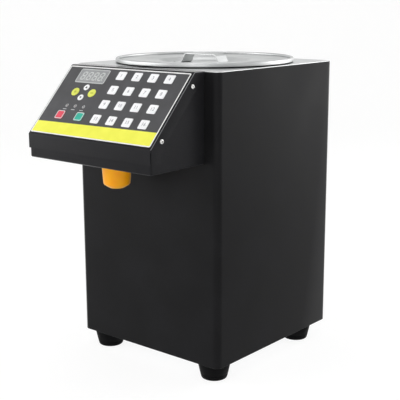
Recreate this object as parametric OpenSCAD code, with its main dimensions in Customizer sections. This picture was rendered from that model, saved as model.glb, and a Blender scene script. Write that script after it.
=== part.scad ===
// Counter-top fructose dispenser: a sheet-metal cabinet with an eight-litre stainless tank, a gear pump
// and a head whose sloping panel carries the dose keys. Millimetres, +Z up, +Y towards the back.
// The origin is on the floor, in the middle of the width and of the whole depth.

/* [Cabinet] */
// Width of the cabinet, side to side
body_w = 270; // [262:1:300]
// Depth of the cabinet without the head
body_d = 278; // [270:1:310]
// Height of the cabinet's top face above the floor
body_top = 438; // [430:1:470]
// Radius of the cabinet's upright edges
corner_r = 10; // [6:1:16]
// Thickness of the cabinet's sheet steel
sheet = 1.2; // [1:0.1:1.6]
// Height of the tray's upturned rim at the foot of the cabinet
tray_rim = 16; // [12:1:24]
// Width of the opening in the cabinet's front behind the head
hatch_w = 196; // [180:1:204]
// Height of that opening
hatch_h = 96; // [90:1:100]

/* [Feet] */
// Height of a rubber foot
foot_h = 24; // [20:1:28]
// Radius of a foot at the cabinet
foot_top_r = 23.5; // [21:0.5:24]
// Radius of a foot near the floor
foot_low_r = 19; // [17:0.5:20]
// Feet spacing across the width
foot_pitch_x = 209.5; // [190:0.5:212]
// Feet spacing along the depth
foot_pitch_y = 206; // [190:1:220]
// Distance from the right side to the right-hand feet
foot_right = 26; // [24:0.5:30]
// Distance from the front to the front feet
foot_front = 24; // [24:0.5:30]
// Radius of the foot screw's shank
foot_screw_r = 2.5; // [2:0.25:3]

/* [Head] */
// How far the head's cover stands out in front of the cabinet
cover_depth = 106.5; // [100:0.5:116]
// Width of the head's cover
cover_w = 235; // [229:1:243]
// Sideways place of the head on the cabinet
head_shift = -5; // [-7:1:0]
// Height of the head's underside
head_z = 314; // [308:1:318]
// Height of the bend between the cover's lip and its slope
bend_z = 346.5; // [342:0.5:350]
// Depth of the cover's flat strip at the top
top_strip = 20; // [16:1:24]
// How far the cover's lip reaches down over the box
lip_h = 20; // [16:1:22]
// Width of the cover's side flanges
flange_w = 19; // [17:1:22]
// Sheet thickness of the cover
cover_t = 1.5; // [1.2:0.1:2]
// Gap between the cover and the box inside it
cover_gap = 1; // [0.4:0.1:1.4]
// Radius of the cover's bends
cover_bend_r = 3; // [2.5:0.5:4]
// Radius of the cover screws' heads
cover_screw_head_r = 4; // [3.5:0.25:4.5]
// Radius of the cover screws' shanks
cover_screw_r = 2; // [1.5:0.25:2.25]
// Distance of the cover screws from the slope
cover_screw_in = 8.6; // [8:0.2:10]
// Distance of the cover screws from the ends of the slope
cover_screw_end = 20; // [18:1:24]

/* [Key panel] */
// Distance from the overlay's side edges to the cover's
overlay_side = 3; // [2.6:0.2:5]
// Distance from the lower bend to the overlay
overlay_low = 3.4; // [2.8:0.2:4]
// Distance from the overlay to the upper bend
overlay_high = 3; // [2.6:0.2:4]
// Thickness of the overlay
overlay_t = 0.8; // [0.8:0.1:1.2]
// Width of a dose key
key_w = 15.2; // [13:0.2:15.6]
// Length of a dose key up the slope
key_l = 14.2; // [12:0.2:14.6]
// Corner radius of a dose key
key_r = 1.8; // [1.5:0.1:3.5]
// How far the keys stand proud of the overlay
key_proud = 0.5; // [0.4:0.1:1]
// Travel of a key
key_travel = 0.5; // [0.3:0.05:0.6]
// Gap all round a key in the overlay
key_gap = 0.3; // [0.2:0.05:0.5]
// Radius of the stem under a key
key_stem_r = 2; // [1.5:0.1:2.5]
// Spacing of the dose keys across
key_pitch_u = 29.6; // [28:0.2:30.4]
// Spacing of the dose keys up the slope
key_pitch_v = 24.85; // [23.5:0.05:25]
// Sideways place of the first column of dose keys
key_first_u = -5.2; // [-7:0.1:-3]
// Place up the slope of the lowest row of dose keys
key_first_v = 36; // [34:0.1:38]
// Distance from the cover's left side to the middle of the display
window_in = 58; // [56:0.2:60]
// Distance from the cover's left side to the lamps and arrow keys
side_group_in = 59.8; // [58:0.2:62]
// Half the spacing of the round keys and lamps
side_half_u = 16.6; // [15:0.2:18]
// Half the spacing of the red and green keys
mode_half_u = 19.2; // [18:0.2:21]
// Place of the red and green keys up the slope
mode_v = 36.8; // [35:0.1:38]
// Radius of the two yellow-green keys
round_key_r = 6.8; // [6:0.1:7.4]
// Radius of the arrow keys
arrow_key_r = 5; // [4.4:0.1:5.4]
// Place of the yellow-green keys up the slope
round_key_v = 77.4; // [76:0.2:80]
// Half the spacing of the arrow keys
arrow_half_v = 8.9; // [8:0.1:9.5]
// Place of the lamps up the slope
lamp_v = 53.4; // [52:0.1:56]
// Radius of a lamp
lamp_r = 1.6; // [1.2:0.1:2]
// Width of the display window
window_w = 58; // [54:0.5:60]
// Length of the display window up the slope
window_l = 24.5; // [22:0.5:25]
// Place of the display's middle up the slope
window_v = 106.4; // [105:0.1:107]
// Distance from the cover to the control board
board_drop = 8; // [7:0.5:10]
// Thickness of the control board
board_t = 1.6; // [1.2:0.1:2]

/* [Tank and lid] */
// Outer radius of the tank
tank_r = 118; // [110:0.5:120]
// Wall of the tank
tank_t = 1; // [0.8:0.1:1.5]
// Depth of the tank's wall below the top face
tank_depth = 196; // [180:1:204]
// Rise of the tank's floor from its drain to its wall
tank_slope = 8; // [4:1:12]
// Radius of the tank's flange
tank_flange_r = 124; // [123:0.5:125]
// Distance of the tank's axis ahead of the cabinet's middle
tank_ahead = 3.5; // [0:0.5:5]
// Height of the heater mat round the tank
heater_h = 60; // [40:2:80]
// Thickness of the heater mat
heater_t = 2; // [1.5:0.1:2.5]
// Radius of the lid
lid_r = 133; // [131:0.5:134]
// Sheet thickness of the lid
lid_t = 1; // [0.8:0.1:1.2]
// Radius of the lid's rolled edge
lid_bead_r = 2.5; // [2:0.1:3]
// Depth of the ring that centres the lid in the tank
lid_skirt = 11; // [8:1:16]
// Height of the lid's seal
seal_h = 3; // [2.5:0.1:4]
// Width of the lid's seal
seal_w = 5; // [4:0.1:5.5]
// Length of the lid's handle
handle_l = 104; // [90:1:112]
// Width of the handle's strap
handle_w = 24; // [18:1:28]
// Thickness of the handle's strap
handle_t = 2; // [1.5:0.1:2.5]
// Clear height under the handle
handle_gap = 13; // [11:0.5:16]
// Depth of the round recess that the handle stands in
lid_recess = 6; // [4:0.5:8]

/* [Outlet] */
// Distance from the cabinet's front to the nozzle's axis
nozzle_y = 50; // [46:1:56]
// Outer radius of the nozzle's tube
nozzle_r = 5; // [4:0.25:6]
// Bore radius of the nozzle's tube
nozzle_bore_r = 3.5; // [2.5:0.25:3.5]
// How far the nozzle reaches below the head
nozzle_drop = 30; // [24:1:34]
// Radius of the orange hood at its top
hood_top_r = 21; // [19:0.5:23]
// Radius of the hood at its mouth
hood_low_r = 18.6; // [17:0.2:20]
// How far the hood hangs below the head
hood_h = 39; // [36:0.5:44]
// Radius of the hood's turned-in lip
hood_lip_r = 4; // [3:0.5:5]
// Wall of the hood
hood_t = 2; // [1.6:0.1:2.6]

/* [Pump] */
// Teeth on each pump gear
gear_teeth = 12; // [11:1:14]
// Module of the pump gears
gear_module = 2; // [1.8:0.1:2.1]
// Width of the pump gears
gear_w = 12; // [10:0.5:16]
// Radius of the drive shaft
shaft_r = 4; // [3:0.25:4.5]
// Radius of the idler gear's pin
idler_pin_r = 3; // [2.5:0.25:4]
// Radial clearance of shafts in their bores
shaft_clear = 0.05; // [0.02:0.01:0.09]
// Sideways place of the pump
pump_x = 12; // [6:1:18]
// Distance from the cabinet's front wall to the pump
pump_y = 10; // [8:1:16]
// Height of the drive shaft's axis
pump_z = 78; // [72:1:88]
// Radius of the pump motor
motor_r = 29; // [25:0.5:31]
// Length of the pump motor
motor_l = 92; // [80:1:104]
// Outer radius of the hoses
hose_r = 7; // [6.5:0.1:7.5]
// Bend radius of the hoses along their middle
hose_bend = 18; // [16:1:20]

/* [Back] */
// Width of the service panel on the back
back_w = 226; // [220:1:232]
// Height of the service panel
back_h = 300; // [280:1:320]
// Distance from the cabinet's foot to the service panel
back_z = 22; // [20:1:30]
// Lap of the service panel round its opening
back_lap = 9; // [8:0.5:10]
// Length of a vent slot
vent_l = 56; // [40:2:64]
// Width of a vent slot
vent_w = 4; // [3:0.5:5]
// Spacing of the vent slots
vent_pitch = 12; // [8:1:12]
// Sideways place of the mains inlet
inlet_x = 62; // [58:1:66]
// Height of the mains inlet and the switch above the panel's foot
inlet_z = 34; // [30:1:40]
// Sideways place of the power switch
switch_x = 16; // [8:1:20]
// Tilt of the switch's rocker each way
rocker_tilt = 10; // [6:1:12]

/* [Hidden] */
$fn = 64;
wrap_top = body_top - sheet;
wrap_h = wrap_top - foot_h;
inlet_flange_t = 2;
inlet_flange_w = 48;
inlet_flange_h = 24;
inlet_screw_x = 20;
back_screw_l = 7;
rear_proud = sheet + inlet_flange_t;
front_y = (cover_depth - body_d - rear_proud) / 2;
fit = 0.3;

// Head: a box of folded sheet inside a cover
panel_run = cover_depth - top_strip;
panel_rise = body_top - bend_z;
panel_tilt = atan2(panel_rise, panel_run);
panel_l = norm([panel_run, panel_rise]);
head_w = cover_w - 2 * (cover_t + cover_gap);
head_depth = cover_depth - cover_t - cover_gap;
cover_side_x = cover_w / 2;
head_bend_r = 2.5;
hatch_z = head_z + 12;
board_n = -cover_t - board_drop;
overlay_w = cover_w - 2 * overlay_side;
overlay_l = panel_l - overlay_low - overlay_high;
overlay_v = overlay_low + overlay_l / 2;
board_in = 8;
switch_w = 6;
board_w = overlay_w - 2 * board_in;
board_low_v = overlay_low + board_in;
board_high_v = max(panel_l - overlay_high - board_in, key_first_v + 3 * key_pitch_v + switch_w / 2 + 1);
board_l = board_high_v - board_low_v;
board_v = (board_low_v + board_high_v) / 2;
seat_gap = 0.05;
window_u = window_in - cover_w / 2;
side_group_u = side_group_in - cover_w / 2;
switch_h = 3.5;

// Keys: [u, v] places on the slope
key_rest = 0.3;
key_top_n = overlay_t + key_proud;
key_base_n = key_travel + key_rest;
key_stem_hole_r = key_stem_r + 0.4;
stem_end_n = board_n + switch_h + key_travel + key_rest;
dose_keys = [for (i = [0:15])
    [key_first_u + (i % 4) * key_pitch_u, key_first_v + (3 - floor(i / 4)) * key_pitch_v]];
round_keys = [for (s = [-1, 1]) [side_group_u + s * side_half_u, round_key_v]];
arrow_keys = [for (s = [1, -1]) [side_group_u, round_key_v + s * arrow_half_v]];
mode_keys = [for (s = [-1, 1]) [side_group_u + s * mode_half_u, mode_v]];
lamps = [for (s = [-1, 0, 1]) [side_group_u + s * side_half_u, lamp_v]];
all_keys = concat(dose_keys, round_keys, arrow_keys, mode_keys);

// Tank and lid
tank_y = body_d / 2 - tank_ahead;
tank_flange_t = tank_t;
tank_bend_r = 3;
tank_floor = body_top - tank_depth;
drain_r = 8;
drain_bore_r = 5;
drain_drop = 26;
lid_seat = body_top + seal_h;
lid_dish_z = lid_seat + 0.6;
lid_middle_z = lid_dish_z - lid_recess;
lid_middle_r = handle_l / 2 + 6;
seal_r = tank_flange_r + 1.2;

// Outlet
hood_top_t = 3;
nozzle_top = head_z + 22;

// Pump: cover plate, gear case, bracket and motor follow each other towards the back
pump_cover_t = 5;
case_back_t = 8;
bracket_t = 3;
gear_pitch_r = gear_module * gear_teeth / 2;
gear_tip_r = gear_pitch_r + 0.95 * gear_module;
gear_root_r = gear_pitch_r - 1.15 * gear_module;
gear_backlash = 0.25;
gear_end_gap = 0.3;
gear_distance = 2 * gear_pitch_r;
case_bore_r = gear_tip_r + fit;
case_wall = 9;
case_front = sheet + pump_y + pump_cover_t;
case_depth = gear_w + 2 * gear_end_gap;
case_back = case_front + case_depth + case_back_t;
bracket_w = 2 * (case_bore_r + case_wall) + 16;
motor_front = case_back + bracket_t;
port_z = pump_z + gear_distance / 2;
port_x = case_bore_r + case_wall;
port_boss_r = 6;
barb_r = 5;
barb_l = 12;
case_screw_x = case_bore_r + case_wall / 2;
suction_x = -78;
delivery_x = 80;

// Base and back
tray_z = foot_h;
power_w = 98;
power_d = 82;
power_h = 40;
back_top = foot_h + back_z + back_h;
inlet_y = body_d + sheet;
rocker_l = 17;
rocker_w = 11;
rocker_in = 3.6;
rocker_r = 5.5;
foot_xy = [for (ix = [0, 1], iy = [0, 1])
    [body_w / 2 - foot_right - ix * foot_pitch_x, foot_front + iy * foot_pitch_y]];
back_screws_xz = [for (sx = [-1, 1], k = [0, 1, 2])
    [sx * (back_w / 2 - back_lap / 2), foot_h + back_z + back_lap / 2 + k * (back_h - back_lap) / 2]];

// Colours
coat = "#2b2b2d";
steel = "#c9ccce";
zinc = "#a9adb0";
rubber = "#1b1b1c";

DOSE_KEYS = ["key_01", "key_02", "key_03", "key_04", "key_05", "key_06", "key_07", "key_08",
    "key_09", "key_10", "key_11", "key_12", "key_13", "key_14", "key_15", "key_16"];
ROUND_KEYS = ["key_round_left", "key_round_right"];
ARROW_KEYS = ["key_arrow_up", "key_arrow_down"];

// ---------- helpers ----------

// Places what is drawn from the cabinet's front face into the part's frame
module in_cabinet() translate([0, front_y, 0]) children();

// A rectangle with round corners, about the origin
module round_rect(w, l, r) {
    square([w - 2 * r, l], center = true);
    square([w, l - 2 * r], center = true);
    for (sx = [-1, 1], sy = [-1, 1])
        translate([sx * (w / 2 - r), sy * (l / 2 - r)]) circle(r);
}

// Extrudes a [y, z] outline across the width, centred
module across(w) translate([-w / 2, 0, 0]) rotate([90, 0, 90]) linear_extrude(w) children();

// Extrudes an [x, z] outline towards the back, from y = 0
module backwards(l) translate([0, l, 0]) rotate([90, 0, 0]) linear_extrude(l) children();

// The slope's frame: u across, v up the slope, n straight out of it
module on_panel() in_cabinet()
    translate([head_shift, -cover_depth, bend_z]) rotate([panel_tilt, 0, 0]) children();

function unit(v) = v / norm(v);
function turn_left(v) = [-v[1], v[0]];
function turned(v, a) = [v[0] * cos(a) - v[1] * sin(a), v[0] * sin(a) + v[1] * cos(a)];

// An open line of points, moved sideways to its left by d
function beside(p, d) = [for (i = [0:len(p) - 1])
    let (a = turn_left(unit(p[min(i + 1, len(p) - 1)] - p[min(i, len(p) - 2)])),
         b = turn_left(unit(p[max(i, 1)] - p[max(i - 1, 0)])))
    p[i] + (a + b) * d / (1 + a * b)];

// An open line of points with its corners rounded to radius r, plus d where the line turns left
// and minus d where it turns right
function rounded(p, r, d = 0, steps = 6) = concat([p[0]],
    [for (i = [1:1:len(p) - 2])
        let (a = unit(p[i - 1] - p[i]), b = unit(p[i + 1] - p[i]),
             half = acos(a * b) / 2, side = sign(a[1] * b[0] - a[0] * b[1]),
             q = max(r + d * side, 0.3), centre = p[i] + unit(a + b) * q / sin(half),
             spoke = p[i] + a * q / tan(half) - centre)
        each [for (k = [0:steps]) centre + turned(spoke, side * (180 - 2 * half) * k / steps)]],
    [p[len(p) - 1]]);

function reversed(p) = [for (i = [len(p) - 1:-1:0]) p[i]];

// The cross-section of a strip folded along p, which is its left face, with bends of radius r there
module folded_strip(p, t, r)
    polygon(concat(rounded(p, r), reversed(rounded(beside(p, -t), r, t))));

// Moves +Z of what is drawn onto the direction d, at the point p
module along(p, d) {
    z = unit(d);
    x = unit(cross(abs(z[2]) > 0.9 ? [1, 0, 0] : [0, 0, 1], z));
    y = cross(z, x);
    multmatrix([[x[0], y[0], z[0], p[0]], [x[1], y[1], z[1], p[1]], [x[2], y[2], z[2], p[2]]]) children();
}

// A hose along straight runs joined by round bends
module hose(points, r, bend) {
    last = len(points) - 1;
    for (i = [0:last - 1]) {
        d = unit(points[i + 1] - points[i]);
        cut_a = i == 0 ? 0 : bend_trim(points, i, bend);
        cut_b = i == last - 1 ? 0 : bend_trim(points, i + 1, bend);
        along(points[i] + d * cut_a, d)
            cylinder(h = norm(points[i + 1] - points[i]) - cut_a - cut_b, r = r);
    }
    for (i = [1:1:last - 1]) {
        a = unit(points[i] - points[i - 1]);
        b = unit(points[i + 1] - points[i]);
        n = unit(b - (b * a) * a);
        s = points[i] - a * bend_trim(points, i, bend) + n * bend;
        x = -n;
        z = cross(x, a);
        multmatrix([[x[0], a[0], z[0], s[0]], [x[1], a[1], z[1], s[1]], [x[2], a[2], z[2], s[2]]])
            rotate_extrude(angle = acos(a * b)) translate([bend, 0]) circle(r);
    }
}
function bend_trim(points, i, bend) =
    let (a = unit(points[i] - points[i - 1]), b = unit(points[i + 1] - points[i]))
    bend * tan(acos(a * b) / 2);

// A pan-head screw along +Z: the head's top is at z = head_t, the shank runs down from z = 0
module pan_screw(head_r, head_t, r, l) {
    rotate_extrude() polygon(concat(
        [[0, 0], [head_r, 0]],
        [for (k = [0:5]) [head_r - head_t * 0.6 * (1 - cos(18 * k)), head_t * (0.4 + 0.6 * sin(18 * k))]],
        [[0, head_t]]));
    translate([0, 0, -l]) cylinder(h = l, r = r);
}

// ---------- cabinet ----------

module body_shell() {
    color(coat) in_cabinet() difference() {
        translate([0, body_d / 2, foot_h]) linear_extrude(wrap_h) difference() {
            round_rect(body_w, body_d, corner_r);
            round_rect(body_w - 2 * sheet, body_d - 2 * sheet, corner_r - sheet);
        }
        translate([head_shift - hatch_w / 2, -1, hatch_z]) cube([hatch_w, sheet + 2, hatch_h]);
        translate([-back_w / 2 + back_lap, body_d - sheet - 1, foot_h + back_z + back_lap])
            cube([back_w - 2 * back_lap, sheet + 2, back_h - 2 * back_lap]);
        for (p = back_screws_xz)
            translate([p[0], body_d - sheet - 1, p[1]]) rotate([-90, 0, 0]) cylinder(h = sheet + 2, r = 1.6);
    }
}

module base_tray() {
    w = body_w - 2 * sheet;
    d = body_d - 2 * sheet;
    r = corner_r - sheet;
    color(zinc) in_cabinet() difference() {
        translate([0, body_d / 2, tray_z]) union() {
            linear_extrude(sheet) round_rect(w, d, r);
            linear_extrude(tray_rim) difference() {
                round_rect(w, d, r);
                round_rect(w - 2 * sheet, d - 2 * sheet, r - sheet);
            }
        }
        for (p = foot_xy)
            translate([p[0], p[1], tray_z - 1]) cylinder(h = sheet + 2, r = foot_screw_r + 0.25);
        // cooling slots between the pump and the power supply
        for (k = [0:7])
            translate([(k - 4.5) * vent_pitch, body_d - vent_l, tray_z - 1]) linear_extrude(sheet + 2)
                round_rect(vent_w, vent_l, vent_w / 2 - 0.1);
    }
}

module foot_profile(r_hole, r_head) {
    edge = 3;
    polygon(concat(
        [[r_head, 0], [foot_low_r - edge, 0]],
        [for (k = [0:5]) [foot_low_r - edge + edge * sin(18 * k), edge - edge * cos(18 * k)]],
        [[foot_top_r, foot_h - 2], [foot_top_r, foot_h], [r_hole, foot_h], [r_hole, 9], [r_head, 9]]));
}

module feet() {
    color(rubber) in_cabinet() for (p = foot_xy) translate([p[0], p[1], 0])
        rotate_extrude() foot_profile(foot_screw_r + 0.1, 7.5);
}

module foot_screws() {
    color(zinc) in_cabinet() for (p = foot_xy) translate([p[0], p[1], 9]) union() {
        rotate_extrude() polygon([[0, 0], [7, 0], [7, -1.2], [5, -1.2], [4.4, -3.6], [0, -3.6]]);
        cylinder(h = foot_h + sheet - 9 + 4.5, r = foot_screw_r);
        translate([0, 0, foot_h + sheet - 9]) cylinder(h = 4, r = 4.6, $fn = 6);
    }
}

module top_plate() {
    in_w = body_w - 2 * sheet - 2 * fit;
    in_d = body_d - 2 * sheet - 2 * fit;
    in_r = corner_r - sheet - fit;
    color(steel) in_cabinet() difference() {
        translate([0, body_d / 2, 0]) union() {
            translate([0, 0, wrap_top]) linear_extrude(sheet) round_rect(body_w, body_d, corner_r);
            translate([0, 0, wrap_top - 10]) linear_extrude(10) difference() {
                round_rect(in_w, in_d, in_r);
                round_rect(in_w - 2 * sheet, in_d - 2 * sheet, in_r - sheet);
            }
        }
        translate([0, tank_y, wrap_top - 1]) cylinder(h = sheet + 2, r = tank_r + tank_bend_r - tank_t + fit);
    }
}

module back_panel() {
    color(coat) in_cabinet() difference() {
        translate([0, body_d, foot_h + back_z + back_h / 2]) backwards(sheet) round_rect(back_w, back_h, 5);
        for (p = back_screws_xz)
            translate([p[0], body_d - 1, p[1]]) rotate([-90, 0, 0]) cylinder(h = sheet + 2, r = 1.8);
        for (sx = [-1, 1], k = [0:9])
            translate([sx * back_w / 5, body_d - 1, foot_h + back_z + back_h / 2 + k * vent_pitch])
                backwards(sheet + 2) round_rect(vent_l, vent_w, vent_w / 2 - 0.1);
        translate([inlet_x, body_d - 1, foot_h + back_z + inlet_z])
            backwards(sheet + 2) inlet_body_outline(fit);
        translate([switch_x, body_d - 1, foot_h + back_z + inlet_z]) backwards(sheet + 2)
            square([13 + 2 * fit, 19.5 + 2 * fit], center = true);
    }
}

module back_screws() {
    color(steel) in_cabinet() for (p = back_screws_xz)
        translate([p[0], body_d + sheet, p[1]]) rotate([-90, 0, 0]) pan_screw(3.2, 1.8, 1.5, back_screw_l);
}

// ---------- tank and lid ----------

module tank() {
    wall_path = [[tank_flange_r, body_top + tank_flange_t], [tank_r - tank_t, body_top + tank_flange_t],
        [tank_r - tank_t, tank_floor + tank_slope + tank_t], [22, tank_floor + tank_t],
        [drain_r + 0.1, tank_floor + tank_t]];
    color(steel) in_cabinet() translate([0, tank_y, 0]) rotate_extrude() difference() {
        folded_strip(reversed(wall_path), tank_t, tank_bend_r);
        translate([-1, 0]) square([1, body_top + 5]);
    }
}

module tank_drain() {
    under = tank_floor - 0.1;
    color(steel) in_cabinet() translate([0, tank_y, 0]) difference() {
        union() {
            translate([0, 0, tank_floor + tank_t]) cylinder(h = 2, r = 13);
            translate([0, 0, tank_floor - drain_drop]) cylinder(h = drain_drop + tank_t + 1, r = drain_r - 1);
            translate([0, 0, tank_floor - 14]) cylinder(h = 14 + tank_t + 1, r = drain_r);
            translate([0, 0, under - 7]) cylinder(h = 7, r = 14, $fn = 6);
        }
        translate([0, 0, tank_floor - drain_drop - 1])
            cylinder(h = drain_drop + tank_t + 5, r = drain_bore_r);
    }
}

module tank_heater() {
    box_w = 36;
    color("#b5562c") in_cabinet() translate([0, tank_y, tank_floor + tank_slope + heater_h / 2]) union() {
        rotate([0, 0, 94]) rotate_extrude(angle = 352)
            translate([tank_r + 0.1, 0]) square([heater_t, heater_h]);
        translate([-box_w / 2, tank_r + 0.6, heater_h / 3]) cube([box_w, 3 * heater_t, heater_h / 3]);
    }
}

module lid() {
    bead_x = lid_r - lid_bead_r;
    bead_start = 180 + asin((lid_bead_r - lid_t) / lid_bead_r);
    top_line = concat(
        [[0, lid_middle_z], [lid_middle_r, lid_middle_z]],
        [for (k = [1:6]) [lid_middle_r + 14 * k / 6, lid_middle_z + lid_recess * (1 - cos(30 * k)) / 2]]);
    slope_line = [[seal_r - 8, lid_dish_z], [seal_r - 2, lid_seat + lid_t]];
    down = [0, -lid_t];
    bead = [for (k = [0:14]) let (g = bead_start - (bead_start + 90) * k / 14)
        [bead_x + lid_bead_r * cos(g), lid_seat + lid_bead_r + lid_bead_r * sin(g)]];
    color(steel) in_cabinet() translate([0, tank_y, 0]) rotate_extrude() polygon(concat(
        top_line, slope_line, bead, [slope_line[1] + down, slope_line[0] + down],
        reversed([for (q = top_line) q + down])));
}

// The ring welded under the lid, which centres it in the tank
module lid_collar() {
    r = tank_r - tank_t - 2;
    color(steel) in_cabinet() translate([0, tank_y, lid_seat - seal_h - lid_skirt]) difference() {
        cylinder(h = lid_dish_z - lid_t - lid_seat + seal_h + lid_skirt, r = r);
        translate([0, 0, -1]) cylinder(h = lid_skirt + seal_h + 2, r = r - lid_t);
    }
}

module lid_handle() {
    foot = 16;
    rise = handle_gap + handle_t;
    half = handle_l / 2;
    path = [[-half, handle_t], [-half + foot, handle_t], [-half + foot + 7, rise], [half - foot - 7, rise],
        [half - foot, handle_t], [half, handle_t]];
    color(steel) in_cabinet() translate([0, tank_y - handle_w / 2, lid_middle_z]) backwards(handle_w)
        folded_strip(path, handle_t, 4);
}

module lid_seal() {
    color(rubber) in_cabinet() translate([0, tank_y, 0]) rotate_extrude()
        polygon([[seal_r, body_top + 0.8], [seal_r + 1, body_top], [seal_r + seal_w - 0.6, body_top],
            [seal_r + seal_w, body_top + 0.8], [seal_r + seal_w, lid_seat], [seal_r, lid_seat]]);
}

// ---------- head ----------

// Outline of the cover's side flange, in [y, z]
module flange_outline() {
    s = [cos(panel_tilt), sin(panel_tilt)];
    in = [sin(panel_tilt), -cos(panel_tilt)] * flange_w;
    a = [-cover_depth, bend_z];
    b = [-top_strip, body_top];
    inner_low = a + in;
    inner_high = b + in;
    cut_low = inner_low + s * (-cover_depth + flange_w - inner_low[0]) / s[0];
    cut_high = inner_high + s * (0 - inner_high[0]) / s[0];
    polygon([[-cover_depth, bend_z - lip_h], a, b, [0, body_top], cut_high, cut_low,
        [-cover_depth + flange_w, bend_z - lip_h]]);
}

// The four cover screws: places on the slope's frame as [v, n]
cover_screw_vn = [[cover_screw_end, -cover_screw_in], [panel_l - cover_screw_end + 3, -cover_screw_in]];

module head_box() {
    t = sheet;
    slope_in = cover_t;
    front_line = [[0, head_z], [-head_depth, head_z], [-head_depth, bend_z - 4]];
    color(coat) difference() {
        union() {
            in_cabinet() translate([head_shift, 0, 0]) {
                across(head_w) folded_strip(front_line, t, head_bend_r);
                for (s = [-1, 1]) translate([s * (head_w - t) / 2, 0, 0]) across(t) difference() {
                    polygon([[0, head_z + 0.5], [-head_depth + 0.5, head_z + 0.5],
                        [-head_depth + 0.5, bend_z], [-top_strip, body_top], [0, body_top]]);
                    translate([-cover_depth, bend_z]) rotate(panel_tilt)
                        translate([-20, -slope_in]) square([panel_l + 60, 40]);
                    translate([-top_strip - 5, body_top - slope_in]) square([top_strip + 10, 10]);
                }
                for (s = [-1, 1]) translate([s * (head_w / 2 - t / 2 - 5.5), 0, 0])
                    translate([-5.5, -t, head_z + t / 2]) cube([11, t, body_top - head_z - t - cover_t - 1]);
                translate([-head_w / 2 + t / 2, -t, head_z + t / 2]) cube([head_w - t, t, 10]);
            }
        }
        on_panel() for (q = cover_screw_vn) translate([0, q[0], q[1]]) rotate([0, 90, 0])
            cylinder(h = cover_w + 10, r = cover_screw_r + 0.2, center = true);
        in_cabinet() translate([head_shift, -nozzle_y, head_z - 1]) cylinder(h = sheet + 2, r = nozzle_r + 3.2);
    }
}

module head_cover() {
    skin = [[-cover_depth, bend_z - lip_h], [-cover_depth, bend_z], [-top_strip, body_top], [0, body_top]];
    color(coat) difference() {
        in_cabinet() translate([head_shift, 0, 0]) union() {
            across(cover_w) folded_strip(skin, cover_t, cover_bend_r);
            for (s = [-1, 1]) translate([s * (cover_w - cover_t) / 2, 0, 0]) across(cover_t) intersection() {
                flange_outline();
                polygon(concat(rounded(skin, cover_bend_r), [[0, head_z], [-cover_depth, head_z]]));
            }
        }
        on_panel() {
            for (p = all_keys) translate([p[0], p[1], -cover_t - 1])
                cylinder(h = cover_t + 2, r = key_stem_hole_r);
            for (p = lamps) translate([p[0], p[1], -cover_t - 1])
                cylinder(h = cover_t + 2, r = lamp_r + 0.2);
            translate([window_u, window_v, -cover_t - 1]) linear_extrude(cover_t + 2)
                square([window_w - 8, window_l - 8], center = true);
            for (q = cover_screw_vn) translate([0, q[0], q[1]]) rotate([0, 90, 0])
                cylinder(h = cover_w + 10, r = cover_screw_r + 0.2, center = true);
        }
    }
}

module cover_screws() {
    color(steel) on_panel() for (q = cover_screw_vn, s = [-1, 1])
        translate([s * cover_side_x, q[0], q[1]]) rotate([0, s * 90, 0])
            pan_screw(cover_screw_head_r, 2.2, cover_screw_r, 9);
}

module overlay() {
    color("#58585a") on_panel() difference() {
        translate([0, overlay_v, 0]) linear_extrude(overlay_t) round_rect(overlay_w, overlay_l, 2);
        for (p = concat(dose_keys, mode_keys)) key_opening(p)
            round_rect(key_w + 2 * key_gap, key_l + 2 * key_gap, key_r + key_gap);
        for (p = round_keys) key_opening(p) circle(round_key_r + key_gap);
        for (p = arrow_keys) key_opening(p) circle(arrow_key_r + key_gap);
        for (p = lamps) key_opening(p) circle(lamp_r + 0.2);
        key_opening([window_u, window_v]) round_rect(window_w, window_l, 1.5);
    }
}
module key_opening(p) translate([p[0], p[1], -1]) linear_extrude(overlay_t + 2) children();

module display_window() {
    color("#a8abad") on_panel() translate([window_u, window_v, 0]) linear_extrude(overlay_t)
        round_rect(window_w - 2 * fit, window_l - 2 * fit, 1.2);
}

module display_module() {
    color("#303034") on_panel() translate([window_u, window_v, board_n]) linear_extrude(board_drop - seat_gap)
        round_rect(window_w + 6, window_l - 2, 1);
}

module control_board() {
    color("#1f6b3a") on_panel() union() {
        translate([0, board_v, board_n - board_t]) linear_extrude(board_t) round_rect(board_w, board_l, 3);
        // push switches under the key stems
        for (p = all_keys) translate([p[0], p[1], board_n + switch_h / 2 - 0.05])
            cube([switch_w, switch_w, switch_h + 0.1], center = true);
        // standoffs that hold the board to the cover
        for (sx = [-1, 1], sy = [-1, 1])
            translate([sx * (board_w / 2 - 5), board_v + sy * (board_l / 2 - 5), board_n - 0.1])
                cylinder(h = board_drop + 0.1 - seat_gap, r = 3);
        // cable header on the back
        translate([40, board_v - 30, board_n - board_t - 8]) cube([34, 7, 8.1]);
    }
}

module indicator_lamps() {
    color("#5a5450") on_panel() for (p = lamps) translate([p[0], p[1], board_n])
        cylinder(h = overlay_t - board_n, r = lamp_r);
}

// A key: a cap in the overlay's opening and a stem through the cover to its push switch
module key(p, tint) {
    color(tint) on_panel() translate([p[0], p[1], 0]) union() {
        translate([0, 0, key_base_n]) linear_extrude(key_top_n - key_base_n) children();
        translate([0, 0, stem_end_n]) cylinder(h = key_base_n - stem_end_n + 0.1, r = key_stem_r);
    }
}
module dose_key(i) key(dose_keys[i], "#f2f2f0") round_rect(key_w, key_l, key_r);
module round_key(i) key(round_keys[i], "#dfe43c") circle(round_key_r);
module arrow_key(i) key(arrow_keys[i], "#f2f2f0") circle(arrow_key_r);
module key_red() key(mode_keys[0], "#e0485a") round_rect(key_w, key_l, key_r);
module key_green() key(mode_keys[1], "#2db391") round_rect(key_w, key_l, key_r);

// ---------- outlet ----------

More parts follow.
